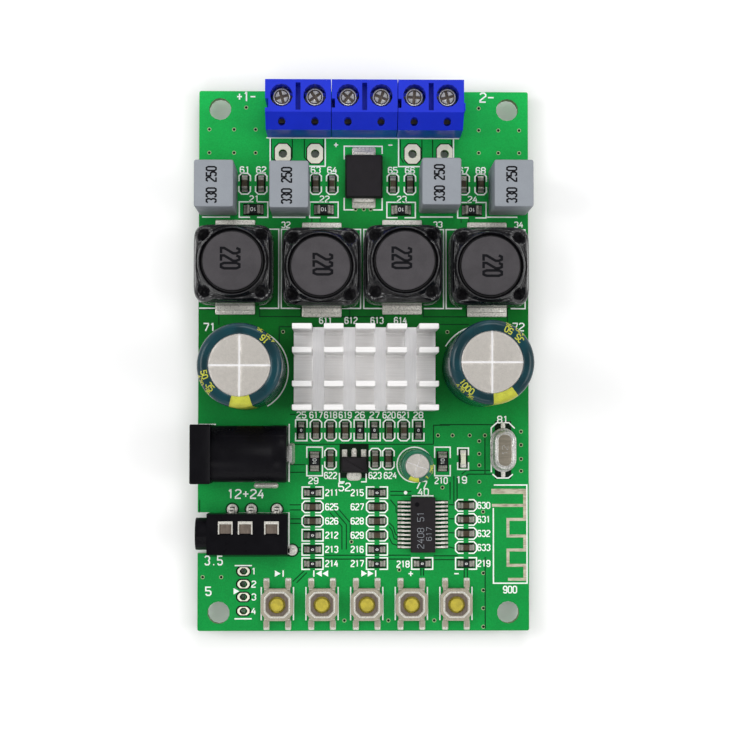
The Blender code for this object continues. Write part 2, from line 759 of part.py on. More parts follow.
def make_audio_jack(black):
    """The audio jack: a housing with its nose, bore, contact windows and solder tabs."""
    nose_z = top + audio_height / 2
    middle_x = -(audio_shoulder + audio_rear) / 2
    body_size = (audio_shoulder - audio_rear, audio_width, audio_height - seat_gap)
    body = box(body_size, (middle_x, audio_y), seat)
    nose_outline = circle(audio_nose_diameter / 2, fine_sides, (audio_y, nose_z))
    nose = prism(nose_outline, -audio_front, -audio_shoulder + seat_gap, "X")
    arm_low = top + audio_tab_height - audio_tab_size
    arm_thickness = audio_tab_size / 2
    tabs = [
        box((audio_tab_size, audio_tab_size, top + audio_tab_height - lead_end), place_xy, lead_end)
        for place_xy in audio_tabs()
    ]
    side_reach = audio_tab_y - audio_y
    for x in audio_tab_x:
        tabs.append(box((audio_tab_size, side_reach, arm_thickness), (x, audio_y + side_reach / 2), arm_low))
    rear_x, rear_y = audio_rear_tab
    rear_reach = rear_x - middle_x
    rear_arm = (rear_reach, audio_tab_size, arm_thickness)
    tabs.append(box(rear_arm, (middle_x + rear_reach / 2, rear_y), arm_low))
    window_size = (*audio_window, 2 * audio_window_depth)
    window_low = top + audio_height - audio_window_depth
    windows = [box(window_size, (x, audio_window_y), window_low) for x in audio_window_x]
    bore_outline = circle(audio_bore_diameter / 2, round_sides, (audio_y, nose_z))
    bore = prism(bore_outline, -audio_front - seat_gap, -audio_front + audio_bore_depth, "X")
    place("audio_jack", solid(body, [nose, *tabs], [bore, *windows]), black)


def make_buttons(base_look, steel, yellow):
    """Five push buttons: base with legs, metal cover and plunger."""
    octagon = rounded_rectangle(button_size, button_size, button_corner, steps=1)
    base_body = prism(octagon, seat, top + button_base_height)
    leg_height = button_base_height - seat_gap
    legs = [
        gull_leg(2 * button_leg_reach, leg_height, side * button_leg_offset, button_leg_width, "X")
        for side in (-1, 1)
    ]
    well_low = top + button_well_floor
    well = post(button_well_diameter, well_low, top + 2 * button_base_height, sides=round_sides)
    base = solid(base_body, legs, [well])
    cover_low = top + button_cover_height - button_cover_thickness
    cover_high = top + button_cover_height
    plate = prism(octagon, cover_low, cover_high)
    raised = prism(octagon, cover_high - button_cover_thickness / 2, cover_high + button_rim_height)
    inner = button_size - 2 * button_rim_width
    inner_outline = rounded_rectangle(inner, inner, button_corner, steps=1)
    dish = prism(inner_outline, cover_high, cover_high + 2 * button_rim_height)
    hole = post(button_hole_diameter, top, top + 2 * button_cover_height, sides=round_sides)
    cover = solid(plate, [raised], [solid_shape(dish, [hole])])
    flange_low = top + button_well_floor + button_travel + button_stop_clearance
    flange_high = flange_low + plunger_flange_thickness
    flange = post(plunger_flange_diameter, flange_low, flange_high, sides=round_sides)
    stem = post(plunger_diameter, flange_low, top + plunger_height, sides=round_sides)
    plunger = solid(flange, [stem])
    for button in range(button_count):
        origin = (button_x(button), button_y, 0)
        place(f"button_base_{button + 1}", base, base_look, origin)
        place(f"button_cover_{button + 1}", cover, steel, origin)
        place(f"button_plunger_{button + 1}", plunger, yellow, origin)


def make_small_chips(epoxy, metal, white):
    """Controller, regulator, diode, crystal and LED."""
    width, depth, height = controller_body
    legs = []
    for pin in range(controller_pins):
        y = (pin - (controller_pins - 1) / 2) * controller_pitch
        legs.append(gull_leg(controller_reach, controller_leg_height, y, leg_width, "Y"))
    body = box((width, depth, height), (0.0, 0.0), seat)
    place("controller_chip", solid(body, legs), epoxy, (*controller_place, 0))

    width, depth, height = regulator_body
    leg_size = (regulator_leg_width, 2 * regulator_leg_length, leg_thickness)
    leg_low = seat + leg_thickness
    legs = [box(leg_size, (i * regulator_pitch, depth / 2), leg_low) for i in (-1, 0, 1)]
    tab_size = (regulator_tab[0], 2 * regulator_tab[1], leg_thickness)
    legs.append(box(tab_size, (0.0, -depth / 2), leg_low))
    body = box((width, depth, height - seat_gap), (0.0, 0.0), seat)
    place("voltage_regulator", solid(body, legs), epoxy, (*regulator_place, 0))

    width, depth, height = diode_body
    body = domed_prism(rectangle(width, depth), seat, top + height, diode_edge)
    tabs = box((diode_tab_width, diode_reach, diode_tab_height), (0.0, 0.0), seat + leg_thickness)
    place("protection_diode", solid(body, [tabs]), epoxy, (*diode_place, 0))

    flange = prism(stadium(*crystal_flange), seat, seat + crystal_flange_height)
    can_low = seat + crystal_flange_height / 2
    can = domed_prism(stadium(*crystal_can), can_low, top + crystal_height, crystal_can_edge)
    lead_size = (crystal_lead_width, crystal_lead_reach, crystal_flange_height / 2)
    lead = box(lead_size, (0.0, 0.0), seat + crystal_flange_height / 4)
    place("crystal", solid(flange, [solid_shape(can, [lead])]), metal, (*crystal_place, 0))

    led = box(led_body, (0.0, 0.0), seat)
    place("led", solid(led), white, (*led_place, 0))


def main():
    """Clears the scene's objects and builds the board."""
    for old in list(bpy.data.objects):
        bpy.data.objects.remove(old)
    green = material("solder_mask_green", (0.02, 0.30, 0.07), 0.4)
    blue = material("terminal_blue", (0.02, 0.09, 0.62), 0.45)
    steel = material("plated_steel", (0.72, 0.72, 0.70), 0.3, 1.0)
    brass = material("tinned_brass", (0.78, 0.72, 0.58), 0.35, 1.0)
    grey = material("film_box_grey", (0.38, 0.39, 0.41), 0.5)
    black = material("jack_black", (0.02, 0.02, 0.024), 0.4)
    varnish = material("coil_black", (0.03, 0.03, 0.033), 0.3)
    sleeve = material("sleeve_teal", (0.01, 0.10, 0.10), 0.35)
    aluminium = material("heatsink_aluminium", (0.85, 0.86, 0.87), 0.35, 1.0)
    rubber = material("thermal_pad_grey", (0.5, 0.5, 0.52), 0.8)
    epoxy = material("chip_black", (0.03, 0.03, 0.033), 0.5)
    yellow = material("plunger_yellow", (0.70, 0.58, 0.12), 0.45)
    white = material("led_white", (0.85, 0.84, 0.72), 0.4)
    make_board(green)
    make_terminals(blue, steel, brass)
    make_film_capacitors(grey)
    make_inductors(varnish)
    make_electrolytics(sleeve)
    make_heatsink(aluminium, rubber, epoxy)
    make_power_jack(black, steel)
    make_audio_jack(black)
    make_buttons(epoxy, steel, yellow)
    make_small_chips(epoxy, steel, white)


main()
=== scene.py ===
"""The looks of an audio amplifier board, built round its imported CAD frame.

Shapes are worked out in millimetres in the frame of the part: its origin is in the middle of the board's
underside, +Y points to the screw terminals and +Z out of the component side. They are put into meshes in
metres. A shape is a tuple: corner points, faces as lists of corner numbers, and one finish number per face.
"""

import math

import bpy
import numpy as np
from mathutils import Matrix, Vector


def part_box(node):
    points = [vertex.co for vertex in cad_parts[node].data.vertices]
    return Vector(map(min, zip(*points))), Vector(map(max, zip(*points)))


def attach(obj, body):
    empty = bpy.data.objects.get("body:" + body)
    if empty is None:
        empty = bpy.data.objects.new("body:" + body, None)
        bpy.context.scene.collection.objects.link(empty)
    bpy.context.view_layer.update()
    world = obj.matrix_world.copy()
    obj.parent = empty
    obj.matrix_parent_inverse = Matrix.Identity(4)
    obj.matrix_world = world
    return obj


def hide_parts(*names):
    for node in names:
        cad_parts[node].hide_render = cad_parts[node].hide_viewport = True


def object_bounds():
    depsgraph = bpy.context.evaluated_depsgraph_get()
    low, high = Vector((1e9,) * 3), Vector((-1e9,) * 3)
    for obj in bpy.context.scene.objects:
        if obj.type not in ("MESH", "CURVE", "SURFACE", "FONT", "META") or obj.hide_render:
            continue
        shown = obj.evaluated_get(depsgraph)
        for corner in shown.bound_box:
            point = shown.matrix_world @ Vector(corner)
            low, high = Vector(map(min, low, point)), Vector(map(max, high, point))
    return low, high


bl_info = {
    "name": "Audio Amplifier Board",
    "version": (1, 0, 0),
    "blender": (4, 5, 0),
    "location": "3D View > Sidebar > Amplifier",
    "description": "Builds the looks of an audio amplifier board round its CAD frame",
    "category": "Object",
}

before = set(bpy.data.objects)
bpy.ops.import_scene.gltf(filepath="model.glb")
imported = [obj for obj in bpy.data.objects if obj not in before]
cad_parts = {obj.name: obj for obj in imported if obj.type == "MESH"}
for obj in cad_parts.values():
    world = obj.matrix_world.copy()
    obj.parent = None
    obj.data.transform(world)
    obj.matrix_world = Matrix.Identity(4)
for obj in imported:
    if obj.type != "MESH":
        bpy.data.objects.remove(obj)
cad_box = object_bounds()

MM = 0.001
TURN = math.pi / 2


def heights(node_name):
    """The lowest and highest z of a CAD node, in millimetres."""
    low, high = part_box(node_name)
    return low.z / MM, high.z / MM


def centre(node_name):
    """The middle of a CAD node seen from above, in millimetres."""
    low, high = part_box(node_name)
    return (low.x + high.x) / 2 / MM, (low.y + high.y) / 2 / MM


def centres(prefix, count):
    """The middles of the CAD nodes prefix_1, prefix_2 and so on."""
    return [centre(f"{prefix}_{number}") for number in range(1, count + 1)]


def crossed(*grids):
    """Every x of a grid with every y of it, for each grid in turn."""
    return [(x, y) for columns, rows in grids for x in columns for y in rows]


def level(start, end, *rows):
    """Lines along X from start to end, one at each y."""
    return [((start, y), (end, y)) for y in rows]


def upright(start, end, *columns):
    """Lines along Y from start to end, one at each x."""
    return [((x, start), (x, end)) for x in columns]


def cup(left, right, top, bottom):
    """A line down, across and up again."""
    return [((left, top), (left, bottom), (right, bottom), (right, top))]


def chip_row(kinds, marks, x, y, shift, turn=0.0, large=False):
    """Small chips in a row as (kind, large, x, y, turn, mark, mark's x, mark's y). Kinds are R for a resistor
    and C for a capacitor. Either x or y is one number for the whole row, and a mark stands the shift off its
    chip."""
    spots = zip(*(np.broadcast_to(values, len(kinds)).tolist() for values in (x, y)))
    return [
        (kind, large, px, py, turn, mark, px + shift[0], py + shift[1])
        for kind, mark, (px, py) in zip(kinds, marks.split(), spots)
    ]


SEAT = heights("power_inductor_1")[0]  # undersides of the components
BOARD_TOP = SEAT - 0.3
SINK = 0.012  # how deep flat pieces sit in what carries them, so that no faces coincide
BEDDED = BOARD_TOP - SINK

COIL_PLACES = centres("power_inductor", 4)
COIL_CORE_SHIFTS = ((-0.05, 0.25), (-0.1, -0.1), (0.25, 0.3), (-0.05, -0.1))
COIL_MARK_SHIFTS = ((-0.25, 0.4), (0.35, 0.25), (-0.55, 0.4), (0.3, 0.0))
CAN_PLACES = [centre("main_capacitor_left"), centre("main_capacitor_right")]
SMALL_CAN_PLACE = centre("filter_capacitor")
FILM_PLACES = centres("film_capacitor", 4)
SCREW_PLACES = centres("terminal_screw", 6)
BUTTON_PLACES = centres("button_cover", 5)
REGULATOR_PLACE = (-1.5, -16.5)
LED_PLACE = centre("led")

# Places on the board to a tenth of a millimetre
LOGIC_ROWS = [-20.9 - 2.22 * number for number in range(6)]
CHIPS = [
    *chip_row("CCCC", "61 62 63 64", (-18.8, -16.2, -7.6, -5.0), 27.8, (0.0, 2.2)),
    *chip_row("CCCC", "65 66 67 68", (4.6, 7.3, 15.8, 18.5), 27.8, (0.0, 2.2)),
    *chip_row("RRRR", "21 22 23 24", (-17.4, -6.3, 5.9, 17.1), 23.7, (0.1, 1.7), TURN, True),
    *chip_row("RCCCRRCCR", "25 617 618 619 26 27 620 621 28", np.linspace(-9.8, 8.6, 9), -11.1, (0.0, 2.4)),
    *chip_row("CC", "622 623", (-5.2, 1.8), -15.6, (0.0, -2.6)),
    *chip_row("C", "624", 3.9, -15.6, (0.3, -2.6)),
    *chip_row("RR", "29 210", (-7.7, 12.4), -16.0, (-0.2, -3.0), 0.0, True),
    *chip_row("RCCRRR", "211 625 626 212 213 214", -8.0, LOGIC_ROWS, (3.0, 0.0), TURN),
    *chip_row("RCCCRR", "215 627 628 629 216 217", 2.1, LOGIC_ROWS, (-3.1, 0.0), TURN),
    *chip_row("CCCCR", "630 631 632 633 219", 16.1, (-22.9, -25.1, -27.3, -29.5, -32.0), (2.8, 0.0), TURN),
    *chip_row("R", "218", 9.2, -32.0, (-3.0, -0.1), TURN),
]
OUTPUT_PADS = crossed(((-12.8, -7.7, 7.7, 12.8), (32.6,)))
USB_PADS = crossed(((-18.8,), (-33.2, -35.2, -37.2, -39.4)))
AUDIO_TABS = crossed(((-20.6, -17.6, -13.6), (-23.5,)), ((-11.2,), (-29.9,)))
AUDIO_WINDOWS = crossed(((-21.35, -18.3, -14.25), (-26.2,)))
CAN_LEADS = [(x, y + side * 2.5) for x, y in FILM_PLACES + CAN_PLACES for side in (-1, 1)]
SMALL_CAN_LEADS = [(SMALL_CAN_PLACE[0], SMALL_CAN_PLACE[1] + side) for side in (-1, 1)]
ROUND_LEADS = [*CAN_LEADS, *SMALL_CAN_LEADS, *((x, 36.8) for x, _ in SCREW_PLACES), *AUDIO_TABS]
JACK_TABS = ((-11.25, -14.75), (-14.25, -14.75))
VIA_PLACES = crossed(
    ((-24.4, -20.5, -17.1), (32.7, 36.4)), ((18.2, 21.3, 24.6), (32.8, 36.4)), ((-18.6, 18.2), (39.9,)),
    ((11.7, 14.0, 16.7, 19.1), (-11.9,)), ((18.2,), (-12.8, -14.8, -16.6, -19.2, -21.2)), ((12.4,), (-20.1,)),
    ((24.8,), (-11.3, -13.4, -15.6, -17.5)), ((18.8,), (-23.9, -33.5, -36.2, -39.0, -41.9)),
    ((5.6,), (-33.0,)),
    ((-3.0, 3.9, 11.1), (-40.9,)), ((-25.2, -22.3), (-34.1,)), ((-12.7, 13.2), (4.4,)), ((-1.9,), (-28.6,)),
    ((-1.3, 0.0, 1.1), (23.8,)),
)
PAD_GAPS = ((-14.6, 0.6), (-11.3, -0.4), (-9.4, 0.7), (5.8, 0.5), (9.2, -0.6), (10.9, 0.6))
BUS_BENDS = ((-5.3, -24.0, -29.8), (-4.6, -23.7, -29.8), (-4.0, -23.4, -28.3))
GAP_LINES = [
    *(((x, 34.9), (x, 32.0), (x + lean, 31.2)) for x, lean in PAD_GAPS), *upright(34.9, 31.6, -6.4, 13.9),
    *upright(22.5, 21.7, -19.5, -18.2, -8.2, -6.9, 3.9, 5.2, 15.4, 16.6),
    ((-25.8, 7.9), (-22.8, 7.9), (-22.8, 5.5)), *cup(-16.4, -9.9, 8.1, 6.8), *cup(-3.6, 3.2, 8.1, 6.8),
    *cup(9.4, 16.2, 8.1, 6.8), *upright(8.1, 6.2, -2.2), *upright(8.2, 6.0, 22.7),
    ((-13.3, 2.3), (-13.3, 5.2), (-11.4, 5.2)),
    *level(9.3, 16.6, 5.6), *level(-11.6, -10.7, -8.6), ((13.6, -10.3), (11.0, -10.3), (11.0, -13.3)),
    *level(-11.6, 11.0, -13.3), *level(-11.6, -9.2, -16.5, -17.7),
    *level(-11.6, -9.8, -22.8, -23.6, -25.0, -25.7, -29.5, -30.1), *level(4.2, 7.5, -20.7, -21.3),
    *(((x, y), (x + 1.9, y - 2.2), (x + 1.9, foot)) for x, y, foot in BUS_BENDS),
    ((4.2, -22.0), (5.1, -23.1), (5.1, -23.9), (5.5, -24.4)),
    ((4.0, -25.6), (4.7, -26.3), (5.0, -27.4), (5.4, -27.7)),
    ((4.0, -26.2), (4.5, -26.9), (4.8, -28.1), (5.4, -28.3)), ((4.0, -27.9), (4.5, -28.9), (5.4, -29.2)),
    *level(-6.1, 7.4, -30.7, -31.3), *level(11.0, 14.8, -30.8), *level(11.0, 14.5, -31.4),
    *upright(-32.8, -33.9, 9.0, 9.4),
    *level(12.0, 20.4, -10.2), *upright(-12.3, -18.0, 19.1), ((15.4, -18.0), (16.2, -17.4), (20.2, -17.4)),
    ((15.6, -18.6), (16.5, -18.0), (20.2, -18.0)), *upright(-18.3, -22.6, 14.2, 14.7),
    *upright(-19.2, -22.0, 13.6),
    *upright(-32.8, -34.4, 15.8, 16.3), ((-9.3, -33.1), (-11.1, -34.8)), ((-8.9, -33.4), (-10.5, -35.0)),
    *upright(-31.0, -42.2, 19.1), *level(13.4, 15.1, -22.8, -25.0), *level(13.4, 14.8, -27.2),
    ((13.4, -29.4), (14.6, -29.7)),
    *upright(-22.0, -24.0, -25.7), *level(-24.9, -11.4, -30.8),
]
COIL_FRAMES = (
    (-16.4, -13.4), (-10.0, -13.0), (-3.4, -0.5), (3.1, 0.0), (9.5, 12.6), (15.5, 13.0), (23.2, 25.5),
)
PRINT_LINES = [
    *level(-15.4, 15.1, 35.1), *cup(-14.8, -6.1, 35.0, 30.6), *cup(5.5, 14.2, 35.0, 30.6),
    ((-3.1, 31.7), (-3.1, 33.8), (2.9, 33.8), (2.9, 32.6)), ((-3.1, 25.6), (-3.1, 23.7), (-1.6, 23.7)),
    ((2.9, 25.6), (2.9, 23.7), (1.5, 23.7)), *level(-25.5, -21.1, 22.5), *level(-14.4, -9.2, 22.5),
    *level(8.9, 14.1, 22.6), *level(19.5, 24.3, 22.6), *level(-25.9, -22.8, 8.1),
    *(((end, 8.1), (side, 8.1), (side, 20.6), (end, 20.6)) for end, side in COIL_FRAMES),
    *upright(-10.1, -19.2, -11.7), *level(-25.9, -23.2, -10.2), *level(-25.8, -24.1, -24.1),
    *level(-19.6, -18.2, -24.1), *level(-16.6, -14.2, -24.1),
    ((-12.8, -24.1), (-11.7, -24.1), (-11.7, -29.5)),
    *level(-20.2, -17.5, -32.3, -40.6),
    ((20.5, -19.7), (25.7, -19.7), (25.7, -35.1), (20.4, -35.1), (20.4, -23.3)),
    ((20.1, -17.7), (20.1, -10.7), (21.0, -9.9), (22.9, -9.9), (23.8, -10.8)),
    ((20.3, -18.0), (21.0, -18.6), (22.8, -18.6), (23.5, -18.0)),
    ((-3.8, -17.8), (-3.8, -19.2), (-3.0, -19.2)),
    ((-0.4, -19.2), (0.4, -19.2), (0.4, -17.9)), *level(7.6, 11.0, -21.4),
]
# Figures by their height
PRINT_LABELS = {
    0.87: (("32", -12.3, 21.3), ("33", 11.7, 21.4), ("34", 24.5, 21.4)),
    0.94: (
        ("611", -6.0, 6.2), ("612", -2.0, 6.2), ("613", 2.1, 6.2), ("614", 5.8, 6.2),
        *((str(number), -17.2, y) for number, (_, y) in enumerate(USB_PADS, 1)),
        *((mark, x, y) for *_, mark, x, y in CHIPS),
    ),
    1.02: (("+", -4.4, 34.0), ("-", 4.2, 34.0), ("40", 9.4, -20.8), ("19", 15.4, -18.9), ("81", 21.9, -9.4),
           ("900", 23.0, -36.1)),
    1.1: (("+", 7.4, -33.6), ("-", 14.6, -33.6)),
    1.18: (("71", -24.3, 5.1), ("72", 24.4, 5.2), ("77", 9.0, -19.7), ("52", -3.0, -20.0)),
    1.26: (("5", -24.3, -36.3),),
    1.34: (("12+24", -18.5, -21.1), ("3.5", -23.5, -31.5)),
    1.42: (("+1-", -18.6, 41.62), ("2-", 19.5, 41.62)),
}
ANTENNA_SIDES = (25.35, 22.7)
ANTENNA_TURNS = (-25.1, -27.7, -29.9, -32.3, -34.5)
ANTENNA = (
    ((20.1, -20.7), (25.7, -20.7)),
    [(ANTENNA_SIDES[0], -21.1)]
    + [(ANTENNA_SIDES[(number + step) % 2], y) for number, y in enumerate(ANTENNA_TURNS) for step in (0, 1)],
    ((20.2, -22.9), (25.1, -22.9)),
)
# Strokes of plain figures and signs on a cell 4 wide and 6 high; True closes a stroke
STROKES = {
    "0": (((1, 0), (3, 0), (4, 1), (4, 5), (3, 6), (1, 6), (0, 5), (0, 1), True),),
    "1": (((0.9, 4.8), (1.8, 5.9), (2.2, 5.9), (2.2, 0)),),
    "2": (((0, 5), (1, 6), (3, 6), (4, 5), (4, 4), (0, 1), (0, 0), (4, 0)),),
    "3": (((0, 5), (1, 6), (3, 6), (4, 5), (4, 4), (3.2, 3), (4, 2), (4, 1), (3, 0), (1, 0), (0, 1)),),
    "4": (((2.6, 6), (0, 2), (4, 2)), ((3, 4), (3, 0))),
    "5": (((4, 6), (0, 6), (0, 3.4), (3, 3.4), (4, 2.5), (4, 1), (3, 0), (1, 0), (0, 1)),),
    "6": (((4, 5), (3, 6), (1, 6), (0, 5), (0, 1), (1, 0), (3, 0), (4, 1), (4, 2.4), (3, 3.4), (0.6, 3.4)),),
    "7": (((0, 6), (4, 6), (4, 5), (1.6, 0)),),
    "8": (
        ((1, 0), (3, 0), (4, 1), (4, 2.2), (3.2, 3.1), (4, 4), (4, 5), (3, 6), (1, 6), (0, 5), (0, 4),
         (0.8, 3.1), (0, 2.2), (0, 1), True),
        ((1.3, 3.1), (2.7, 3.1)),
    ),
    "9": (((0, 1), (1, 0), (3, 0), (4, 1), (4, 5), (3, 6), (1, 6), (0, 5), (0, 3.6), (1, 2.6), (3.4, 2.6)),),
    "+": (((0, 3), (4, 3)), ((2, 1), (2, 5))),
    "-": (((0, 3), (4, 3)),),
    ".": (((1.6, 0.1), (2.6, 0.1)),),
}
STROKE_ADVANCE = 5.6


def srgb(red, green, blue):
    """Linear light from 0 to 255 display values, by the inverse of the display curve."""
    shown = np.array((red, green, blue)) / 255.0
    linear = np.where(shown <= 0.04045, shown / 12.92, ((shown + 0.055) / 1.055) ** 2.4)
    return tuple(float(value) for value in linear)


def tint(name, description, *display):
    """A colour property with its default given in display values."""
    return bpy.props.FloatVectorProperty(
        name=name, description=description, subtype="COLOR", size=3, min=0.0, max=1.0, default=srgb(*display)
    )


def length(name, description, default):
    """A length property in metres."""
    return bpy.props.FloatProperty(
        name=name, description=description, default=default, min=0.0, subtype="DISTANCE", unit="LENGTH",
        precision=5
    )


class AmplifierColours(bpy.types.PropertyGroup):
    """Colours of the board's finishes."""

    # Painted light and shade: the lit far-end green and the shaded middle green are the one mask green made
    # lighter by the terminals and darker round the heatsink
    mask_light: tint("Board, far end", "Solder mask by the screw terminals", 24, 186, 84)
    mask_middle: tint("Board, middle", "Solder mask round the heatsink", 4, 116, 36)
    mask_near: tint("Board, near end", "Solder mask by the buttons", 14, 152, 66)
    mask_gap: tint("Copper gaps", "Solder mask over bare laminate", 2, 58, 26)
    laminate: tint("Laminate", "Edges of the board", 146, 152, 92)
    # Near-black: a dark bed under the chips and pads, and painted shade in the middles of the vias, standing
    # for their open holes
    bare: tint("Under the chips", "Laminate between the pads", 12, 26, 16)
    print_ink: tint("Printing", "Marks printed on the board", 250, 254, 250)
    solder: tint("Solder", "Solder joints and tinned legs", 232, 229, 220)
    chip_end: tint("Chip ends", "Soldered ends of the small chips", 176, 172, 164)
    via: tint("Vias", "Tinned rings of the vias", 176, 196, 150)
    skirt: tint("Clear varnish", "Varnish on the coils' walls", 50, 52, 53)
    # Also the painted highlight in the crosses of the can tops
    milled: tint("Milled slots", "Cut slots of the heatsink", 246, 245, 246)
    cream: tint("Bare pads", "Tinned pads of the outputs", 246, 244, 222)
    copper: tint("Antenna", "Tinned copper of the antenna", 168, 156, 134)
    terminal: tint("Terminals", "Housings of the screw terminals", 30, 52, 212)
    steel: tint("Screws", "Screws and wire guards", 222, 221, 217)
    brass: tint("Clamps", "Tinned clamps of the terminals", 205, 192, 150)
    film: tint("Film capacitors", "Cases of the film capacitors", 150, 155, 162)
    ink: tint("Ink", "Printing on the capacitors and coils", 14, 14, 18)
    ferrite: tint("Coil cores", "Matt faces of the coils", 76, 73, 76)
    varnish: tint("Coil varnish", "Glossy varnish round the coils", 15, 14, 17)
    sleeve: tint("Large cans", "Sleeves of the large cans", 8, 62, 72)
    small_sleeve: tint("Small can", "Sleeve of the small can", 26, 104, 74)
    stripe: tint("Stripe", "Polarity stripe and figures", 196, 198, 66)
    can_top: tint("Can tops", "Stamped tops of the cans", 206, 201, 194)
    sink: tint("Heatsink", "Etched aluminium", 248, 246, 245)
    epoxy: tint("Chips", "Moulded chip bodies", 34, 31, 34)
    ceramic: tint("Chip capacitors", "Bodies of the chip capacitors", 78, 68, 52)
    film_resistor: tint("Chip resistors", "Bodies of the chip resistors", 26, 26, 30)
    jack: tint("Jacks", "Plastic of both jacks", 14, 13, 17)
    can_steel: tint("Crystal", "Can of the crystal", 150, 142, 128)
    cover: tint("Button covers", "Pressed covers of the buttons", 188, 181, 162)
    # Painted shade: a darker steel for the screws' recesses, the button covers' slopes into their holes and
    # the plates sunk in the audio jack's windows
    tarnish: tint("Button faces", "Faces round the plungers, darkened as painted shade", 126, 114, 104)
    plunger: tint("Plungers", "Plungers of the buttons", 196, 180, 62)
    lamp: tint("Lamp", "Lens of the small lamp", 236, 236, 214)
    rubber: tint("Thermal pad", "Pad under the heatsink", 168, 172, 178)
    floor: tint("Floor", "Floor of the studio", 246, 246, 246)


class AmplifierSizes(bpy.types.PropertyGroup):
    """Sizes of the dressing that the CAD frame doesn't hold."""

    print_width: length("Printed line", "Width of the printed lines", 0.0002)
    print_thickness: length("Print thickness", "How far printing stands proud", 0.00002)
    gap_width: length("Copper gap", "Width of the gaps in the copper", 0.00017)
    figure_weight: length("Figure stroke", "Stroke width of figures 1 mm high", 0.00018)
    via_diameter: length("Via", "Outer diameter of a via's ring", 0.00062)
    wire_joint: length("Solder joint", "Diameter of a lead's solder joint", 0.0019)
    floor_size: length("Floor", "Side of the studio floor", 3.0)


def lofted(rings, caps=True, loop=False, look=0):
    """Quads between neighbouring rings; rings[i, j] is corner j of ring i. Rings run anticlockwise seen from
    the last one, so faces point outwards. Caps close both ends, and a loop joins the last ring to the
    first."""
    rings = np.asarray(rings, float)
    rows, sides = rings.shape[:2]
    here = np.arange(rows * sides).reshape(rows, sides)
    beside = np.roll(here, -1, axis=1)
    end = rows if loop else rows - 1
    above, diagonal = np.roll(here, -1, axis=0), np.roll(beside, -1, axis=0)
    faces = np.stack((here[:end], beside[:end], diagonal[:end], above[:end]), axis=-1).reshape(-1, 4).tolist()
    if caps and not loop:
        faces += [here[0, ::-1].tolist(), here[-1].tolist()]
    return rings.reshape(-1, 3), faces, [look] * len(faces)


def joined(shapes):
    """One shape from several, each one's corner numbers moved past those before it."""
    starts = np.cumsum([0] + [len(shape[0]) for shape in shapes])
    faces = [
        [corner + int(start) for corner in face]
        for shape, start in zip(shapes, starts) for face in shape[1]
    ]
    marks = [mark for shape in shapes for mark in shape[2]]
    return np.concatenate([shape[0] for shape in shapes]), faces, marks


def across(x, reach, way, middle):
    """A ring in the plane of x: the middle (y, z) plus the reach along each way. Rings that follow each other
    with growing x are an outer skin, and with shrinking x the wall of a bore."""
    return np.column_stack(
        (np.full(len(way), x), middle[0] + reach * way[:, 0], middle[1] + reach * way[:, 1]),
    )


def box_reach(way, half, below, above):
    """How far a ray from the middle runs to the walls of a box: the least of half / |y|, above / z and
    below / -z."""
    y, z = np.abs(way[:, 0]), way[:, 1]
    upright = np.where(z > 0, above, below) / np.maximum(np.abs(z), 1e-9)
    return np.minimum(half / np.maximum(y, 1e-9), upright)


def spokes(angle):
    """Unit directions at the given angles."""
    return np.stack((np.cos(angle), np.sin(angle)), axis=-1)


def circle(count, shift=0.0):
    """Unit directions evenly round a circle, the first one a share of a step past +X."""
    return spokes((np.arange(count) + shift) * 2 * np.pi / count)


def flat(points, height):
    """Plane points raised to one height."""
    return np.column_stack((points, np.full(len(points), height)))


def repeated(shape, places):
    """Copies of a shape at places (x, y, z, turn): each corner is turned about Z and then moved."""
    points, faces, marks = shape
    places = np.array([tuple(place) + (0.0,) * (4 - len(place)) for place in places], float)
    turn = places[:, 3:]
    x = points[:, 0] * np.cos(turn) - points[:, 1] * np.sin(turn) + places[:, :1]
    y = points[:, 0] * np.sin(turn) + points[:, 1] * np.cos(turn) + places[:, 1:2]
    z = points[:, 2] + places[:, 2:3]
    everything = np.stack((x, y, z), axis=-1).reshape(-1, 3)
    starts = range(0, len(places) * len(points), len(points))
    copies = [[corner + start for corner in face] for start in starts for face in faces]
    return everything, copies, marks * len(places)


def moved(shape, x=0.0, y=0.0, z=0.0, turn=0.0):
    """One copy of a shape, turned about Z and then moved."""
    return repeated(shape, [(x, y, z, turn)])


def outline(width, depth, radius, steps=3):
    """A rounded rectangle's corner middles and directions: a point is its middle plus the radius along its
    way."""
    angles = np.linspace(0, TURN, steps + 1)[None, :] + np.arange(4)[:, None] * TURN
    way = np.stack((np.cos(angles), np.sin(angles)), axis=-1).reshape(-1, 2)
    signs = np.array(((1, 1), (-1, 1), (-1, -1), (1, -1)))
    return np.repeat(signs * (width / 2 - radius, depth / 2 - radius), steps + 1, axis=0), way


def stacked(middles, way, radius, profile):
    """Rings of an outline at each (inset, height) of a profile: middle plus (radius - inset) along the
    way."""
    profile = np.asarray(profile, float)
    flat = middles[None] + (radius - profile[:, :1, None]) * way[None]
    heights = np.broadcast_to(profile[:, 1:2, None], flat.shape[:2] + (1,))
    return np.concatenate((flat, heights), axis=-1)


def rolled(low, high, edge, steps=3):
    """(inset, height) pairs of a wall with a quarter circle of the edge's radius at its foot and at its
    top."""
    angle = np.linspace(0, TURN, steps + 1)
    foot = np.stack((edge * (1 - np.sin(angle)), low + edge * (1 - np.cos(angle))), axis=-1)
    head = np.stack((edge * (1 - np.cos(angle)), high - edge * (1 - np.sin(angle))), axis=-1)
    return np.concatenate((foot, head))


def block(width, depth, low, high, radius=0.1, edge=0.06, steps=3, look=0):
    """A block with rounded corners and rolled edges, standing on the origin."""
    middles, way = outline(width, depth, max(radius, edge), steps)
    return lofted(stacked(middles, way, max(radius, edge), rolled(low, high, edge, 2)), look=look)


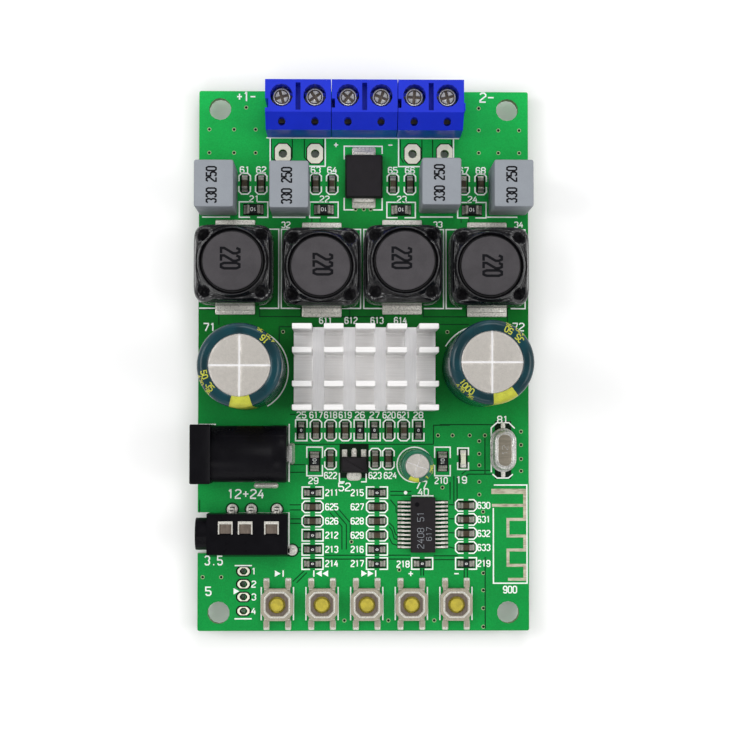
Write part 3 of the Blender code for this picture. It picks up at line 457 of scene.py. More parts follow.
def rounded(width, depth, radius, wall, steps=3, look=0):
    """A rounded rectangle carried up a wall of (inset, height) points."""
    return lofted(stacked(*outline(width, depth, radius, steps), radius, wall), look=look)


def bed(width, depth, proud=0.006, radius=0.1, edge=0.004, look=0):
    """A flat block that starts inside the board and stands a little proud of it."""
    return block(width, depth, BEDDED, BOARD_TOP + proud, radius, edge, look=look)


def twice(shape):
    """A shape and its copy half a turn round."""
    return joined([shape, moved(shape, turn=math.pi)])


def placed(shapes, place):
    """Shapes moved to one place."""
    return [moved(shape, *place) for shape in shapes]


def either_side(shape, x=0.0, y=0.0):
    """Copies of a shape moved by (x, y) and by its opposite."""
    return [moved(shape, side * x, side * y) for side in (-1, 1)]


def turned(profile, sides=32, look=0, loop=False):
    """A profile of (radius, height) carried round the Z axis."""
    return lofted([flat(circle(sides) * radius, height) for radius, height in profile], loop=loop, look=look)


def pillow(loop_points, profile, look=0):
    """A closed outline drawn in towards its middle: middle + share x (point - middle) at each (share,
    height)."""
    loop_points = np.asarray(loop_points, float)
    profile = np.asarray(profile, float)
    centre = loop_points.mean(axis=0)
    flat = centre + profile[:, :1, None] * (loop_points - centre)[None]
    heights = np.broadcast_to(profile[:, 1:2, None], flat.shape[:2] + (1,))
    return lofted(np.concatenate((flat, heights), axis=-1), look=look)


def quarter_outline(gap, radius):
    """A quarter of a disc beside a cross-shaped gap: its inner corner, and the arc between the gap's arms."""
    start = math.asin(gap / radius)
    arc = np.linspace(start, TURN - start, 15)
    return np.concatenate((((gap, gap),), radius * np.stack((np.cos(arc), np.sin(arc)), axis=-1)))


def strip(path, width, low, high, close=False, look=0):
    """A flat bar along a path: both sides are moved half the width along the mitre (a + b) / (1 + a.b) of the
    left normals a and b of the path before and after each corner."""
    path = np.asarray(path, float)
    ahead = np.roll(path, -1, axis=0) - path
    if not close:
        ahead[-1] = ahead[-2]
    ahead /= np.linalg.norm(ahead, axis=1, keepdims=True)
    behind = np.roll(ahead, 1, axis=0)
    if not close:
        behind[0] = ahead[0]
    left, right = (np.stack((-v[:, 1], v[:, 0]), axis=-1) for v in (behind, ahead))
    mitre = (left + right) / (1 + np.sum(left * right, axis=1, keepdims=True)) * width / 2
    sides = np.stack((path + mitre, path + mitre, path - mitre, path - mitre), axis=1)
    heights = np.broadcast_to(np.array((low, high, high, low))[None, :, None], sides.shape[:2] + (1,))
    return lofted(np.concatenate((sides, heights), axis=-1), loop=close, look=look)


def dense(path, pitch):
    """The same path with a point at every pitch: each coordinate is interpolated along the running length."""
    path = np.asarray(path, float)
    run = np.concatenate(([0.0], np.cumsum(np.linalg.norm(np.diff(path, axis=0), axis=1))))
    marks = np.unique(np.concatenate((run, np.arange(0, run[-1], pitch))))
    return np.stack([np.interp(marks, run, path[:, axis]) for axis in range(path.shape[1])], axis=-1)


def figures(text, height, weight, low, high, look=0, pitch=None, squeeze=1.0):
    """Strips for a line of figures centred on the origin, narrowed by the squeeze. Strokes differ a little in
    height, so that crossing strokes don't share a face."""
    scale = np.array((squeeze, 1.0)) * height / 6
    start = -(len(text) * STROKE_ADVANCE - (STROKE_ADVANCE - 4)) / 2
    made = []
    for place, letter in enumerate(text):
        for layer, stroke in enumerate(STROKES.get(letter, ())):
            close = stroke[-1] is True
            points = np.array(stroke[:-1] if close else stroke, float)
            path = (points + (start + place * STROKE_ADVANCE, -3)) * scale
            if pitch:
                path = dense(np.concatenate((path, path[:1])) if close else path, pitch)
                path = path[:-1] if close else path
            made.append(strip(path, weight, low, high + layer * 0.004, close, look))
    return joined(made)


def wrapped(shape, angle, profile, arc_radius, start):
    """A flat shape laid on a turned surface: x runs round the axis as an angle x / arc_radius, y climbs the
    profile from its running length `start`, and z stands off along the profile's normal."""
    points, faces, marks = shape
    profile = np.asarray(profile, float)
    run = np.concatenate(([0.0], np.cumsum(np.linalg.norm(np.diff(profile, axis=0), axis=1))))
    slope = np.gradient(profile, run, axis=0)
    slope /= np.linalg.norm(slope, axis=1, keepdims=True)
    along = start + points[:, 1]
    normal_r, normal_z = np.interp(along, run, slope[:, 1]), -np.interp(along, run, slope[:, 0])
    radius = np.interp(along, run, profile[:, 0]) + normal_r * points[:, 2]
    height = np.interp(along, run, profile[:, 1]) + normal_z * points[:, 2]
    turn = math.radians(angle) + points[:, 0] / arc_radius
    return np.column_stack((spokes(turn) * radius[:, None], height)), faces, marks


def piece(name, shapes, finishes, body="root", stands_for=(), crease=35.0):
    """Puts shapes into one mesh object in metres, gives it its finishes and lets it ride on a CAD body."""
    points, faces, marks = joined(shapes)
    mesh = bpy.data.meshes.new(name)
    mesh.from_pydata((points * MM).tolist(), [], faces)
    for finish in finishes:
        mesh.materials.append(bpy.data.materials[finish])
    mesh.polygons.foreach_set("material_index", np.array(marks, np.int32))
    mesh.shade_smooth()
    mesh.set_sharp_from_angle(angle=math.radians(crease))
    mesh.update()
    made = bpy.data.objects.new(name, mesh)
    bpy.context.scene.collection.objects.link(made)
    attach(made, body)
    if stands_for:
        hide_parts(*stands_for)
    return made


def dress(prefix, finish):
    """Gives a finish to every CAD node whose name starts with the prefix."""
    for name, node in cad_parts.items():
        if name.startswith(prefix):
            for place in node.material_slots:
                place.material = bpy.data.materials[finish]


def node(tree, kind, values=None, **settings):
    """A shader node with its settings; a value is set on its socket, or linked where it is an output."""
    made = tree.nodes.new(kind)
    for name, setting in settings.items():
        setattr(made, name, setting)
    for name, value in (values or {}).items():
        if isinstance(value, bpy.types.NodeSocket):
            tree.links.new(value, made.inputs[name])
        else:
            made.inputs[name].default_value = value
    return made


def grouped(tree, name, values):
    """The outputs of one of the shared effects, placed in a material with its own values."""
    return node(tree, "ShaderNodeGroup", values, node_tree=bpy.data.node_groups[name]).outputs


def maths(tree, operation, first, second=0.0):
    """One sum on two values."""
    return node(tree, "ShaderNodeMath", {0: first, 1: second}, operation=operation).outputs[0]


def ranged(tree, value, low=0.0, high=1.0, least=0.0, most=1.0):
    """A value between low and high spread between least and most."""
    values = {"Value": value, "From Min": low, "From Max": high, "To Min": least, "To Max": most}
    return node(tree, "ShaderNodeMapRange", values).outputs["Result"]


def mixed(tree, factor, first, second):
    """Two colours mixed by a factor."""
    return node(tree, "ShaderNodeMix", {"Factor": factor, 6: first, 7: second}, data_type="RGBA").outputs[2]


def scaled(tree, colour, share):
    """A colour times a share."""
    return node(tree, "ShaderNodeVectorMath", {0: colour, "Scale": share}, operation="SCALE").outputs[0]


def noise(tree, where, scale, detail):
    """Cloudy noise from 0 to 1."""
    return node(
        tree, "ShaderNodeTexNoise", {"Vector": where, "Scale": scale, "Detail": detail},
    ).outputs["Fac"]


def bumped(height, strength, distance):
    """The values of a bump of the given height in millimetres."""
    return {"Height": height, "Strength": strength, "Distance": distance * MM}


def opaque(colour):
    """A colour with full alpha."""
    return (*colour, 1.0)


def darker(colour, share):
    """A colour times a share, which lightens it over 1; anything but a number is the new colour itself."""
    return tuple(channel * share for channel in colour) if isinstance(share, float) else share


def effect(name, inputs, outputs):
    """An empty node group with named sockets, its input node and its output node."""
    tree = bpy.data.node_groups.new(name, "ShaderNodeTree")
    for label, kind, value in inputs:
        socket = tree.interface.new_socket(name=label, in_out="INPUT", socket_type="NodeSocket" + kind)
        if value is not None:
            socket.default_value = value
    for label, kind in outputs:
        tree.interface.new_socket(name=label, in_out="OUTPUT", socket_type="NodeSocket" + kind)
    return tree, tree.nodes.new("NodeGroupInput").outputs, tree.nodes.new("NodeGroupOutput").inputs


def build_mottle():
    """Two colours mixed by broad noise, darkened and lightened by fine grain."""
    tree, given, out = effect(
        "Mottle",
        (
            ("Vector", "Vector", None), ("Colour", "Color", None), ("Patch Colour", "Color", None),
            ("Patch Share", "Float", 0.5), ("Coarse Scale", "Float", 300.0), ("Fine Scale", "Float", 5000.0),
            ("Grain", "Float", 0.05),
        ),
        (("Colour", "Color"), ("Mask", "Float"), ("Height", "Float")),
    )
    mask = ranged(tree, noise(tree, given["Vector"], given["Coarse Scale"], 4.0), 0.36, 0.64)
    share = maths(tree, "MULTIPLY", mask, given["Patch Share"])
    fine = noise(tree, given["Vector"], given["Fine Scale"], 2.0)
    least = maths(tree, "SUBTRACT", 1.0, given["Grain"])
    most = maths(tree, "ADD", 1.0, given["Grain"])
    grain = ranged(tree, fine, 0.3, 0.7, least, most)
    colour = scaled(tree, mixed(tree, share, given["Colour"], given["Patch Colour"]), grain)
    for name, source in (("Colour", colour), ("Mask", mask), ("Height", fine)):
        tree.links.new(source, out[name])


def build_brushed():
    """Fine streaks: noise on coordinates that are stretched along one axis."""
    tree, given, out = effect(
        "Brushed",
        (("Vector", "Vector", None), ("Stretch", "Vector", (1.0, 1.0, 1.0)), ("Scale", "Float", 900.0)),
        (("Height", "Float"), ("Mask", "Float")),
    )
    both = {0: given["Vector"], 1: given["Stretch"]}
    stretched = node(tree, "ShaderNodeVectorMath", both, operation="MULTIPLY").outputs[0]
    streaks = noise(tree, stretched, given["Scale"], 3.0)
    tree.links.new(streaks, out["Height"])
    tree.links.new(ranged(tree, streaks, 0.42, 0.6), out["Mask"])


def build_specks():
    """Small round specks of dust or flux: cells nearer to their middle than the given size."""
    tree, given, out = effect(
        "Specks",
        (("Vector", "Vector", None), ("Scale", "Float", 900.0), ("Size", "Float", 0.1)),
        (("Mask", "Float"),),
    )
    cells = node(tree, "ShaderNodeTexVoronoi", {"Vector": given["Vector"], "Scale": given["Scale"]})
    tree.links.new(ranged(tree, cells.outputs["Distance"], given["Size"], 0.0), out["Mask"])


def finish(
    name, colour, patch, share=0.5, coarse=300.0, fine=5000.0, grain=0.06, rough=(0.4, 0.5), metallic=0.0,
    relief=0.01, coat=0.0, coat_rough=0.1, brush=None, brush_scale=900.0, brush_relief=0.0, specks=None,
    light=0.5, base=None, gloss=0.2,
):
    """A material from the shared effects: mottled colour and grain, optional streaks and specks, roughness
    that follows the patches, and relief in millimetres. The patches' and specks' colour may be a share of the
    first."""
    made = bpy.data.materials.new(name)
    made.use_nodes = True
    tree = made.node_tree
    shader = tree.nodes["Principled BSDF"]
    where = tree.nodes.new("ShaderNodeTexCoord").outputs["Object"]
    patch = opaque(darker(colour, patch))
    values = {"Vector": where, "Colour": opaque(colour), "Patch Colour": patch, "Patch Share": share}
    values.update({"Coarse Scale": coarse, "Fine Scale": fine, "Grain": grain})
    mottle = grouped(tree, "Mottle", values)
    if base:
        base(tree, where, mottle[0].node)
    shown = mottle["Colour"]
    bumps = bumped(mottle["Height"], light, relief)
    if brush:
        streaks = grouped(tree, "Brushed", {"Vector": where, "Stretch": brush, "Scale": brush_scale})
        shown = mixed(tree, streaks["Mask"], shown, patch)
        lines = bumped(streaks["Height"], light, brush_relief)
        bumps["Normal"] = node(tree, "ShaderNodeBump", lines).outputs[0]
    if specks:
        scale, size, speck = specks
        dots = grouped(tree, "Specks", {"Vector": where, "Scale": scale, "Size": size})
        shown = mixed(tree, dots["Mask"], shown, opaque(darker(colour, speck)))
    tree.links.new(node(tree, "ShaderNodeBump", bumps).outputs[0], shader.inputs["Normal"])
    tree.links.new(shown, shader.inputs["Base Color"])
    tree.links.new(ranged(tree, mottle["Mask"], 0.0, 1.0, *rough), shader.inputs["Roughness"])
    for label, value in (
        ("Metallic", metallic), ("Specular IOR Level", gloss), ("Coat Weight", coat),
        ("Coat Roughness", coat_rough),
    ):
        shader.inputs[label].default_value = value


def board_colour(tree, where, mottle):
    """Feeds the board's mottle: the mask's green changes from the buttons to the terminals as painted light
    and shade, darker round the heatsink in the middle and lighter by the terminals, and faces that look
    sideways show the laminate."""
    look = bpy.context.scene.amplifier_colours
    parts = node(tree, "ShaderNodeSeparateXYZ", {0: where})
    along = ranged(tree, parts.outputs["Y"], cad_box[0].y, cad_box[1].y)
    ramp = node(tree, "ShaderNodeValToRGB", {0: along})
    stops = ramp.color_ramp.elements
    # Painted light and shade along Y: darker round the heatsink, lighter towards the terminals
    stops[0].color = opaque(look.mask_near)
    stops[1].color = opaque(look.mask_light)
    for place, colour in ((0.34, look.mask_near), (0.52, look.mask_middle), (0.66, look.mask_middle)):
        stops.new(place).color = opaque(colour)
    upright_part = node(
        tree, "ShaderNodeSeparateXYZ", {0: tree.nodes.new("ShaderNodeNewGeometry").outputs["Normal"]},
    )
    side = maths(tree, "LESS_THAN", maths(tree, "ABSOLUTE", upright_part.outputs["Z"]), 0.5)
    layers = grouped(tree, "Brushed", {"Vector": where, "Stretch": (0.05, 0.05, 6.0), "Scale": 900.0})
    laminate = mixed(tree, layers["Mask"], opaque(look.laminate), opaque(look.mask_middle))
    shown = mixed(tree, side, ramp.outputs["Color"], laminate)
    tree.links.new(shown, mottle.inputs["Colour"])
    tree.links.new(scaled(tree, shown, 0.78), mottle.inputs["Patch Colour"])


def build_finishes():
    """Every finish of the board, from the colours in the sidebar."""
    look = bpy.context.scene.amplifier_colours
    finish(
        "solder mask", look.mask_near, look.mask_light, 0.5, 170.0, 6000.0, 0.12, (0.3, 0.42), relief=0.012,
        coat=0.04, coat_rough=0.15, specks=(420.0, 0.03, look.mask_gap), base=board_colour, gloss=0.08,
    )
    # Copper gaps, and painted shade for the dark rings round the audio jack's tabs
    finish("mask gap", look.mask_gap, 1.6, 0.6, 900.0, grain=0.12, rough=(0.3, 0.45), gloss=0.1)
    # Near-black beds, and painted shade in the via middles and round the USB holes
    finish("bare laminate", look.bare, look.mask_gap, 0.25, 2500.0, grain=0.2, rough=(0.35, 0.6), gloss=0.1)
    finish(
        "printing", look.print_ink, 0.9, 0.5, 2200.0, 12000.0, 0.04, (0.5, 0.65), relief=0.008,
        specks=(5200.0, 0.03, look.mask_near),
    )
    finish("solder", look.solder, 0.5, 0.4, 2600.0, 9000.0, 0.1, (0.22, 0.4), 0.45, 0.05, light=0.9)
    finish("chip solder", look.chip_end, 0.35, 0.7, 3600.0, 9000.0, 0.16, (0.2, 0.4), 0.55, 0.05, light=0.9)
    finish("bare pad", look.cream, 0.85, 0.5, 1800.0, 9000.0, 0.04, (0.35, 0.5), 0.1, 0.02)
    finish("via ring", look.via, 0.7, 0.5, 2800.0, 9000.0, 0.06, (0.3, 0.5), 0.1, 0.02)
    finish(
        "antenna", look.copper, srgb(214, 208, 186), 0.8, 700.0, 9000.0, 0.12, (0.35, 0.5), 0.35, 0.02,
        brush=(1.0, 8.0, 1.0), brush_scale=700.0,
    )
    finish(
        "terminal plastic", look.terminal, 0.8, 0.4, 220.0, 9000.0, 0.03, (0.32, 0.42), relief=0.006,
        coat=0.05,
        coat_rough=0.3, gloss=0.12,
    )
    finish(
        "screw steel", look.steel, 0.6, 0.5, 2400.0, 9000.0, 0.06, (0.2, 0.36), 0.55, 0.012,
        brush=(6.0, 0.6, 1.0), brush_scale=1400.0, brush_relief=0.008,
    )
    finish("clamp brass", look.brass, 0.7, 0.5, 1500.0, rough=(0.28, 0.45), metallic=0.9)
    finish(
        "film case", look.film, 0.86, 0.35, 420.0, 14000.0, 0.05, (0.42, 0.55), relief=0.015,
        specks=(1500.0, 0.03, 0.6), gloss=0.15,
    )
    finish("ink", look.ink, 1.8, 0.5, 3000.0, grain=0.1, rough=(0.5, 0.7), gloss=0.1)
    finish(
        "ferrite", look.ferrite, 0.7, 0.45, 420.0, 11000.0, 0.14, (0.5, 0.68), relief=0.02,
        specks=(1500.0, 0.05, 2.6), gloss=0.15,
    )
    finish(
        "coil varnish", look.varnish, 2.2, 0.3, 620.0, 2600.0, 0.1, (0.1, 0.26), relief=0.12, coat=0.7,
        coat_rough=0.04, light=0.8, gloss=0.4,
    )
    finish(
        "clear varnish", look.skirt, 0.45, 0.6, 700.0, 5000.0, 0.12, (0.15, 0.3), relief=0.06, coat=0.4,
        coat_rough=0.08, gloss=0.4,
    )
    finish(
        "can sleeve", look.sleeve, 0.6, 0.5, 260.0, 5000.0, 0.05, (0.2, 0.3), relief=0.006, coat=0.25,
        coat_rough=0.04, brush=(1.0, 1.0, 0.2), brush_scale=260.0,
    )
    finish(
        "small sleeve", look.small_sleeve, 0.6, 0.45, 500.0, rough=(0.2, 0.3), coat=0.35, coat_rough=0.05,
        gloss=0.3,
    )
    finish("stripe", look.stripe, 0.66, 0.7, 900.0, 9000.0, 0.12, (0.3, 0.4), coat=0.2)
    finish(
        "can aluminium", look.can_top, 0.72, 0.6, 1100.0, 12000.0, 0.12, (0.34, 0.52), 0.5, 0.04,
        specks=(2400.0, 0.06, 0.5),
    )
    finish(
        "heatsink aluminium", look.sink, 0.94, 0.4, 260.0, 9000.0, 0.03, (0.4, 0.55), 0.1, 0.015,
        brush=(0.25, 9.0, 3.0), brush_scale=600.0, brush_relief=0.004,
    )
    # Milled slots of the heatsink, and painted highlight in the can tops' crosses
    finish(
        "milled aluminium and painted glint", look.milled, 0.95, 0.4, 500.0, 9000.0, 0.03, (0.35, 0.5), 0.1, 0.01,
        brush=(9.0, 0.4, 1.0), brush_scale=800.0, brush_relief=0.004,
    )
    finish(
        "chip epoxy", look.epoxy, 1.6, 0.3, 900.0, 16000.0, 0.14, (0.5, 0.66), relief=0.02,
        specks=(5200.0, 0.07, 2.4), gloss=0.15,
    )
    finish("ceramic", look.ceramic, 0.5, 0.8, 1400.0, 12000.0, 0.14, (0.4, 0.55))
    finish("resistor film", look.film_resistor, 1.8, 0.3, 2200.0, rough=(0.35, 0.5))
    finish(
        "jack plastic", look.jack, 1.7, 0.4, 340.0, 9000.0, 0.14, (0.26, 0.4), relief=0.02, coat=0.02,
        coat_rough=0.2, specks=(1700.0, 0.04, 4.0), gloss=0.06, light=0.6,
    )
    finish(
        "crystal can", look.can_steel, 0.8, 0.5, 700.0, 9000.0, 0.06, (0.3, 0.45), 0.35, 0.02,
        brush=(0.6, 5.0, 1.0),
    )
    finish(
        "button steel", look.cover, 0.8, 0.5, 1500.0, 9000.0, 0.07, (0.28, 0.42), 0.3, 0.02,
        brush=(7.0, 0.7, 1.0),
    )
    # Painted shade on steel: recesses of the screws, slopes into the button holes, plates sunk in the audio
    # windows
    finish(
        "steel in painted shade", look.tarnish, 0.7, 0.6, 1400.0, 9000.0, 0.1, (0.3, 0.45), 0.3, 0.02,
        brush=(7.0, 0.7, 1.0),
    )
    finish(
        "plunger plastic", look.plunger, 0.6, 0.6, 1500.0, 9000.0, 0.1, (0.3, 0.45), relief=0.02, coat=0.15,
    )
    finish("lamp lens", look.lamp, 0.8, 0.5, 2400.0, rough=(0.15, 0.3), coat=0.4)
    finish("thermal rubber", look.rubber, 0.8, 0.5, 900.0, 9000.0, 0.1, (0.6, 0.75))


def flat_bars(lines, width, proud):
    """Strips on the board's top along lists of points, each a little higher than the last, as they may
    cross."""
    return [
        strip(line, width, BEDDED, BOARD_TOP + proud + 0.0001 * number) for number, line in enumerate(lines)
    ]


def chip_places(large, kinds="RC"):
    """Where the chips of one size and of the given kinds stand."""
    return [(x, y, 0.0, turn) for kind, size, x, y, turn, *_ in CHIPS if size is large and kind in kinds]


def bracket(width, reach, gap, corner):
    """Half of a chip's printed outline: up one side, across its end and down the other."""
    half = width / 2
    if not corner:
        return ((-half, gap), (-half, reach), (half, reach), (half, gap))
    inner = half - corner
    return (
        (-half, gap), (-half, reach - corner), (-inner, reach), (inner, reach), (half, reach - corner),
        (half, gap),
    )


class AMPLIFIER_OT_finishes(bpy.types.Operator):
    """Builds the shared shader effects and every finish, and dresses the CAD nodes that stay"""

    bl_idname = "amplifier.finishes"
    bl_label = "Finishes"

    def execute(self, context):
        build_mottle()
        build_brushed()
        build_specks()
        build_finishes()
        for prefix, finish_name in (
            ("circuit_board", "solder mask"), ("terminal_housing", "terminal plastic"),
            ("terminal_clamp", "clamp brass"), ("wire_guard", "screw steel"),
            ("amplifier_chip", "chip epoxy"),
            ("thermal_pad", "thermal rubber"), ("power_jack_pin", "screw steel"),
            ("audio_jack", "jack plastic"),
            ("button_base", "button steel"),
        ):
            dress(prefix, finish_name)
        return {"FINISHED"}


class AMPLIFIER_OT_printing(bpy.types.Operator):
    """Prints the white lines, chip outlines, plain figures and arrows on the board"""

    bl_idname = "amplifier.printing"
    bl_label = "Printed marks"

    def execute(self, context):
        sizes = context.scene.amplifier_sizes
        width, proud = sizes.print_width / MM, sizes.print_thickness / MM
        low, high = BEDDED, BOARD_TOP + proud
        marks = flat_bars(PRINT_LINES, width, proud)
        for kind, large, span in (
            ("R", False, (1.8, 1.65, 0.4, 0.0)), ("C", False, (1.8, 1.65, 0.4, 0.42)),
            ("R", True, (2.45, 2.25, 0.55, 0.0)),
        ):
            marks.append(repeated(twice(strip(bracket(*span), width, low, high)), chip_places(large, kind)))
        marks.append(moved(twice(strip(bracket(1.7, 1.68, 0.55, 0.0), width, low, high)), *LED_PLACE))
        for height, labels in PRINT_LABELS.items():
            weight = sizes.figure_weight / MM * height**0.6
            for text, x, y in labels:
                squeeze = 0.8 if len(text) == 3 else 0.95
                marks.append(moved(figures(text, height, weight, low, high, squeeze=squeeze), x, y))
        sides = [(x + side * 2.52, y + 0.05) for x, y in BUTTON_PLACES for side in (-1, 1)]
        marks.append(repeated(strip(((0, -2.6), (0, 2.6)), width, low, high), sides))
        arc = spokes(np.radians(np.linspace(-60, 150, 40))) * 6.55
        marks += [strip(arc + place, width, low, high) for place in CAN_PLACES]
        marks.append(strip(circle(36) * 2.75 + SMALL_CAN_PLACE, width, low, high, True))
        arrow = pillow(((-0.45, -0.5), (0.45, 0.0), (-0.45, 0.5)), ((1.0, low), (1.0, high)))
        signs = -33.55
        ahead = [(x, signs) for x in (-13.45, 0.1, 1.1)]
        back = [(x, signs, 0.0, math.pi) for x in (-6.0, -7.0)]
        marks.append(repeated(arrow, [*ahead, *back, (-19.9, -36.3)]))
        bar = strip(((0, -0.5), (0, 0.5)), width, low, high)
        marks.append(repeated(bar, [(x, signs) for x in (-12.6, 1.9, -7.8)]))
        marks.append(moved(turned(((0.28, low), (0.28, high)), 16), 6.6, -20.9))
        piece("printed_marks", marks, ["printing"])
        return {"FINISHED"}


class AMPLIFIER_OT_copper(bpy.types.Operator):
    """Lays the gaps between copper areas, the vias, the bare pads and the printed antenna"""

    bl_idname = "amplifier.copper"
    bl_label = "Copper and pads"

    def execute(self, context):
        sizes = context.scene.amplifier_sizes
        gaps = flat_bars(GAP_LINES, sizes.gap_width / MM, 0.003)
        piece("copper_gaps", gaps, ["mask gap"])
        edge, top = sizes.via_diameter / MM / 2, BOARD_TOP + 0.006
        rim = turned(((edge, BEDDED), (edge, top), (edge * 0.7, top), (edge * 0.66, BEDDED)), 14, loop=True)
        # Painted shade: a flat near-black disc stands for the via's open hole
        core = turned(((edge * 0.68, BEDDED), (edge * 0.68, BOARD_TOP + 0.002)), 14, look=1)
        vias = [repeated(joined([rim, core]), VIA_PLACES)]
        piece("vias", vias, ["via ring", "bare laminate"])
        piece("output_pads", self.bare_pads(), ["bare pad", "bare laminate"])
        piece("lead_pads", self.lead_pads(), ["solder", "mask gap"])
        bars = [strip(line, wide, BEDDED, BOARD_TOP + 0.02) for line, wide in zip(ANTENNA, (0.8, 0.46, 0.46))]
        piece("antenna", bars, ["antenna"])
        return {"FINISHED"}

    def bare_pads(self):
        """Flat octagonal rings round the output and USB holes, each in a thin dark border. Round each USB
        hole a dark ring lies over the pad as painted shade at the hole's mouth.
        """
        output = [self.ring(1.25, 1.55, 0.7, 0.62), self.ring(1.42, 1.72, 0.7, 0.7, 0.004, 1)]
        usb = [
            self.ring(0.95, 0.65, 0.42, 0.4), self.ring(1.2, 0.85, 0.42, 0.5, 0.004, 1),
            # Painted shade: a dark ring over the pad round the USB hole
            self.ring(0.6, 0.52, 0.4, 0.35, 0.036, 1),
        ]
        return [repeated(joined(output), OUTPUT_PADS), repeated(joined(usb), USB_PADS)]

    def ring(self, half_width, half_depth, hole, corner, proud=0.03, look=0):
        """A pad with a hole: rings of 32 corners run from the hole's foot out under the rim, up it, in over
        the top face and down again. Along a direction (x, y) the rim is at the least of half_width / |x|,
        half_depth / |y| and (half_width + half_depth - corner) / (|x| + |y|)."""
        way = circle(32)
        size = np.maximum(np.abs(way), 1e-6)
        slant = (half_width + half_depth - corner) / size.sum(axis=1)
        reach = np.minimum(np.minimum(half_width / size[:, 0], half_depth / size[:, 1]), slant)
        outer, inner = way * reach[:, None], way * hole * 0.97
        top = BOARD_TOP + proud
        rings = ((inner, BEDDED), (outer, BEDDED), (outer * 0.99, top), (inner, top))
        return lofted([flat(*ring) for ring in rings], loop=True, look=look)

    def lead_pads(self):
        """Joints round every lead: a low cone on the top face and a tall hollow cone under the board. Round
        the audio jack's tabs a dark ring is painted shade standing for the hole.
        """
        radius = bpy.context.scene.amplifier_sizes.wire_joint / MM / 2
        over = ((0.9, -SINK), (0.88, 0.03), (0.6, 0.06), (0.42, 0.14), (0.3, 0.24))
        over = turned([(radius * share, BOARD_TOP + rise) for share, rise in over], 18)
        under = turned(
            ((0.1, -1.62), (0.22, -1.6), (0.32, -1.35), (radius * 0.45, -0.9), (radius * 0.6, -0.5),
             (radius * 0.82, -0.2), (radius, -0.04), (radius, SINK)), 18,
        )
        tab = rounded(3.4, 1.4, 0.6, ((0.45, -1.3), (0.3, -0.9), (0.12, -0.3), (0.0, -0.04), (0.0, SINK)))
        # Painted shade: a dark ring round each audio tab stands for its hole
        border = turned(((radius * 1.15, BEDDED), (radius * 1.15, BOARD_TOP + 0.004)), 18, look=1)
        return [
            repeated(joined([over, under]), ROUND_LEADS), repeated(border, AUDIO_TABS),
            repeated(tab, [(x, y, 0.0, TURN) for x, y in JACK_TABS]),
        ]


class AMPLIFIER_OT_small_chips(bpy.types.Operator):
    """Makes the chip resistors and capacitors with their metal ends and solder"""

    bl_idname = "amplifier.small_chips"
    bl_label = "Chip resistors and capacitors"

    def execute(self, context):
        beds, ends, bodies = [], [], {"C": [], "R": []}
        for large, width, long, text in ((False, 0.8, 1.6, "0"), (True, 1.25, 2.0, "10")):
            beds.append(repeated(bed(width + 0.62, long + 1.25), chip_places(large)))
            ends.append(repeated(twice(self.end_cap(width, long)), chip_places(large)))
            top = BOARD_TOP + 0.63
            body = block(width + 0.04, long * 0.62, BOARD_TOP, top, 0.05, 0.04)
            mark = figures(text, width * 0.42, 0.07, top - SINK, top + 0.006, 1)
            marked = joined([body, moved(mark, turn=TURN if large else 0.0)])
            for kind, shape in (("C", body), ("R", marked)):
                if chip_places(large, kind):
                    bodies[kind].append(repeated(shape, chip_places(large, kind)))
        piece("chip_beds", beds, ["bare laminate"])
        piece("chip_solder", ends, ["chip solder"], crease=50.0)
        piece("chip_capacitors", bodies["C"], ["ceramic", "printing"])
        piece("chip_resistors", bodies["R"], ["resistor film", "printing"])
        return {"FINISHED"}

    def end_cap(self, width, long):
        """A metal end and its fillet of solder, whose height falls off as (1 - t) squared along the pad."""
        share = np.linspace(0, 1, 6)
        half = width / 2 + 0.02 + 0.05 * share
        rise = 0.42 * (1 - share) ** 2 + 0.035
        y = long / 2 + 0.52 * share
        low, side, top = np.full(6, BEDDED), BOARD_TOP + rise * 0.8, BOARD_TOP + rise
        corners = (
            (-half, low), (-half, side), (-half * 0.6, top), (half * 0.6, top), (half, side), (half, low),
        )
        fillet = lofted(np.stack([np.stack((x, y, z), axis=-1) for x, z in corners], axis=1))
        cap = block(width + 0.07, long * 0.22, BOARD_TOP, BOARD_TOP + 0.66, 0.06, 0.05)
        return joined([fillet, moved(cap, y=long * 0.41)])


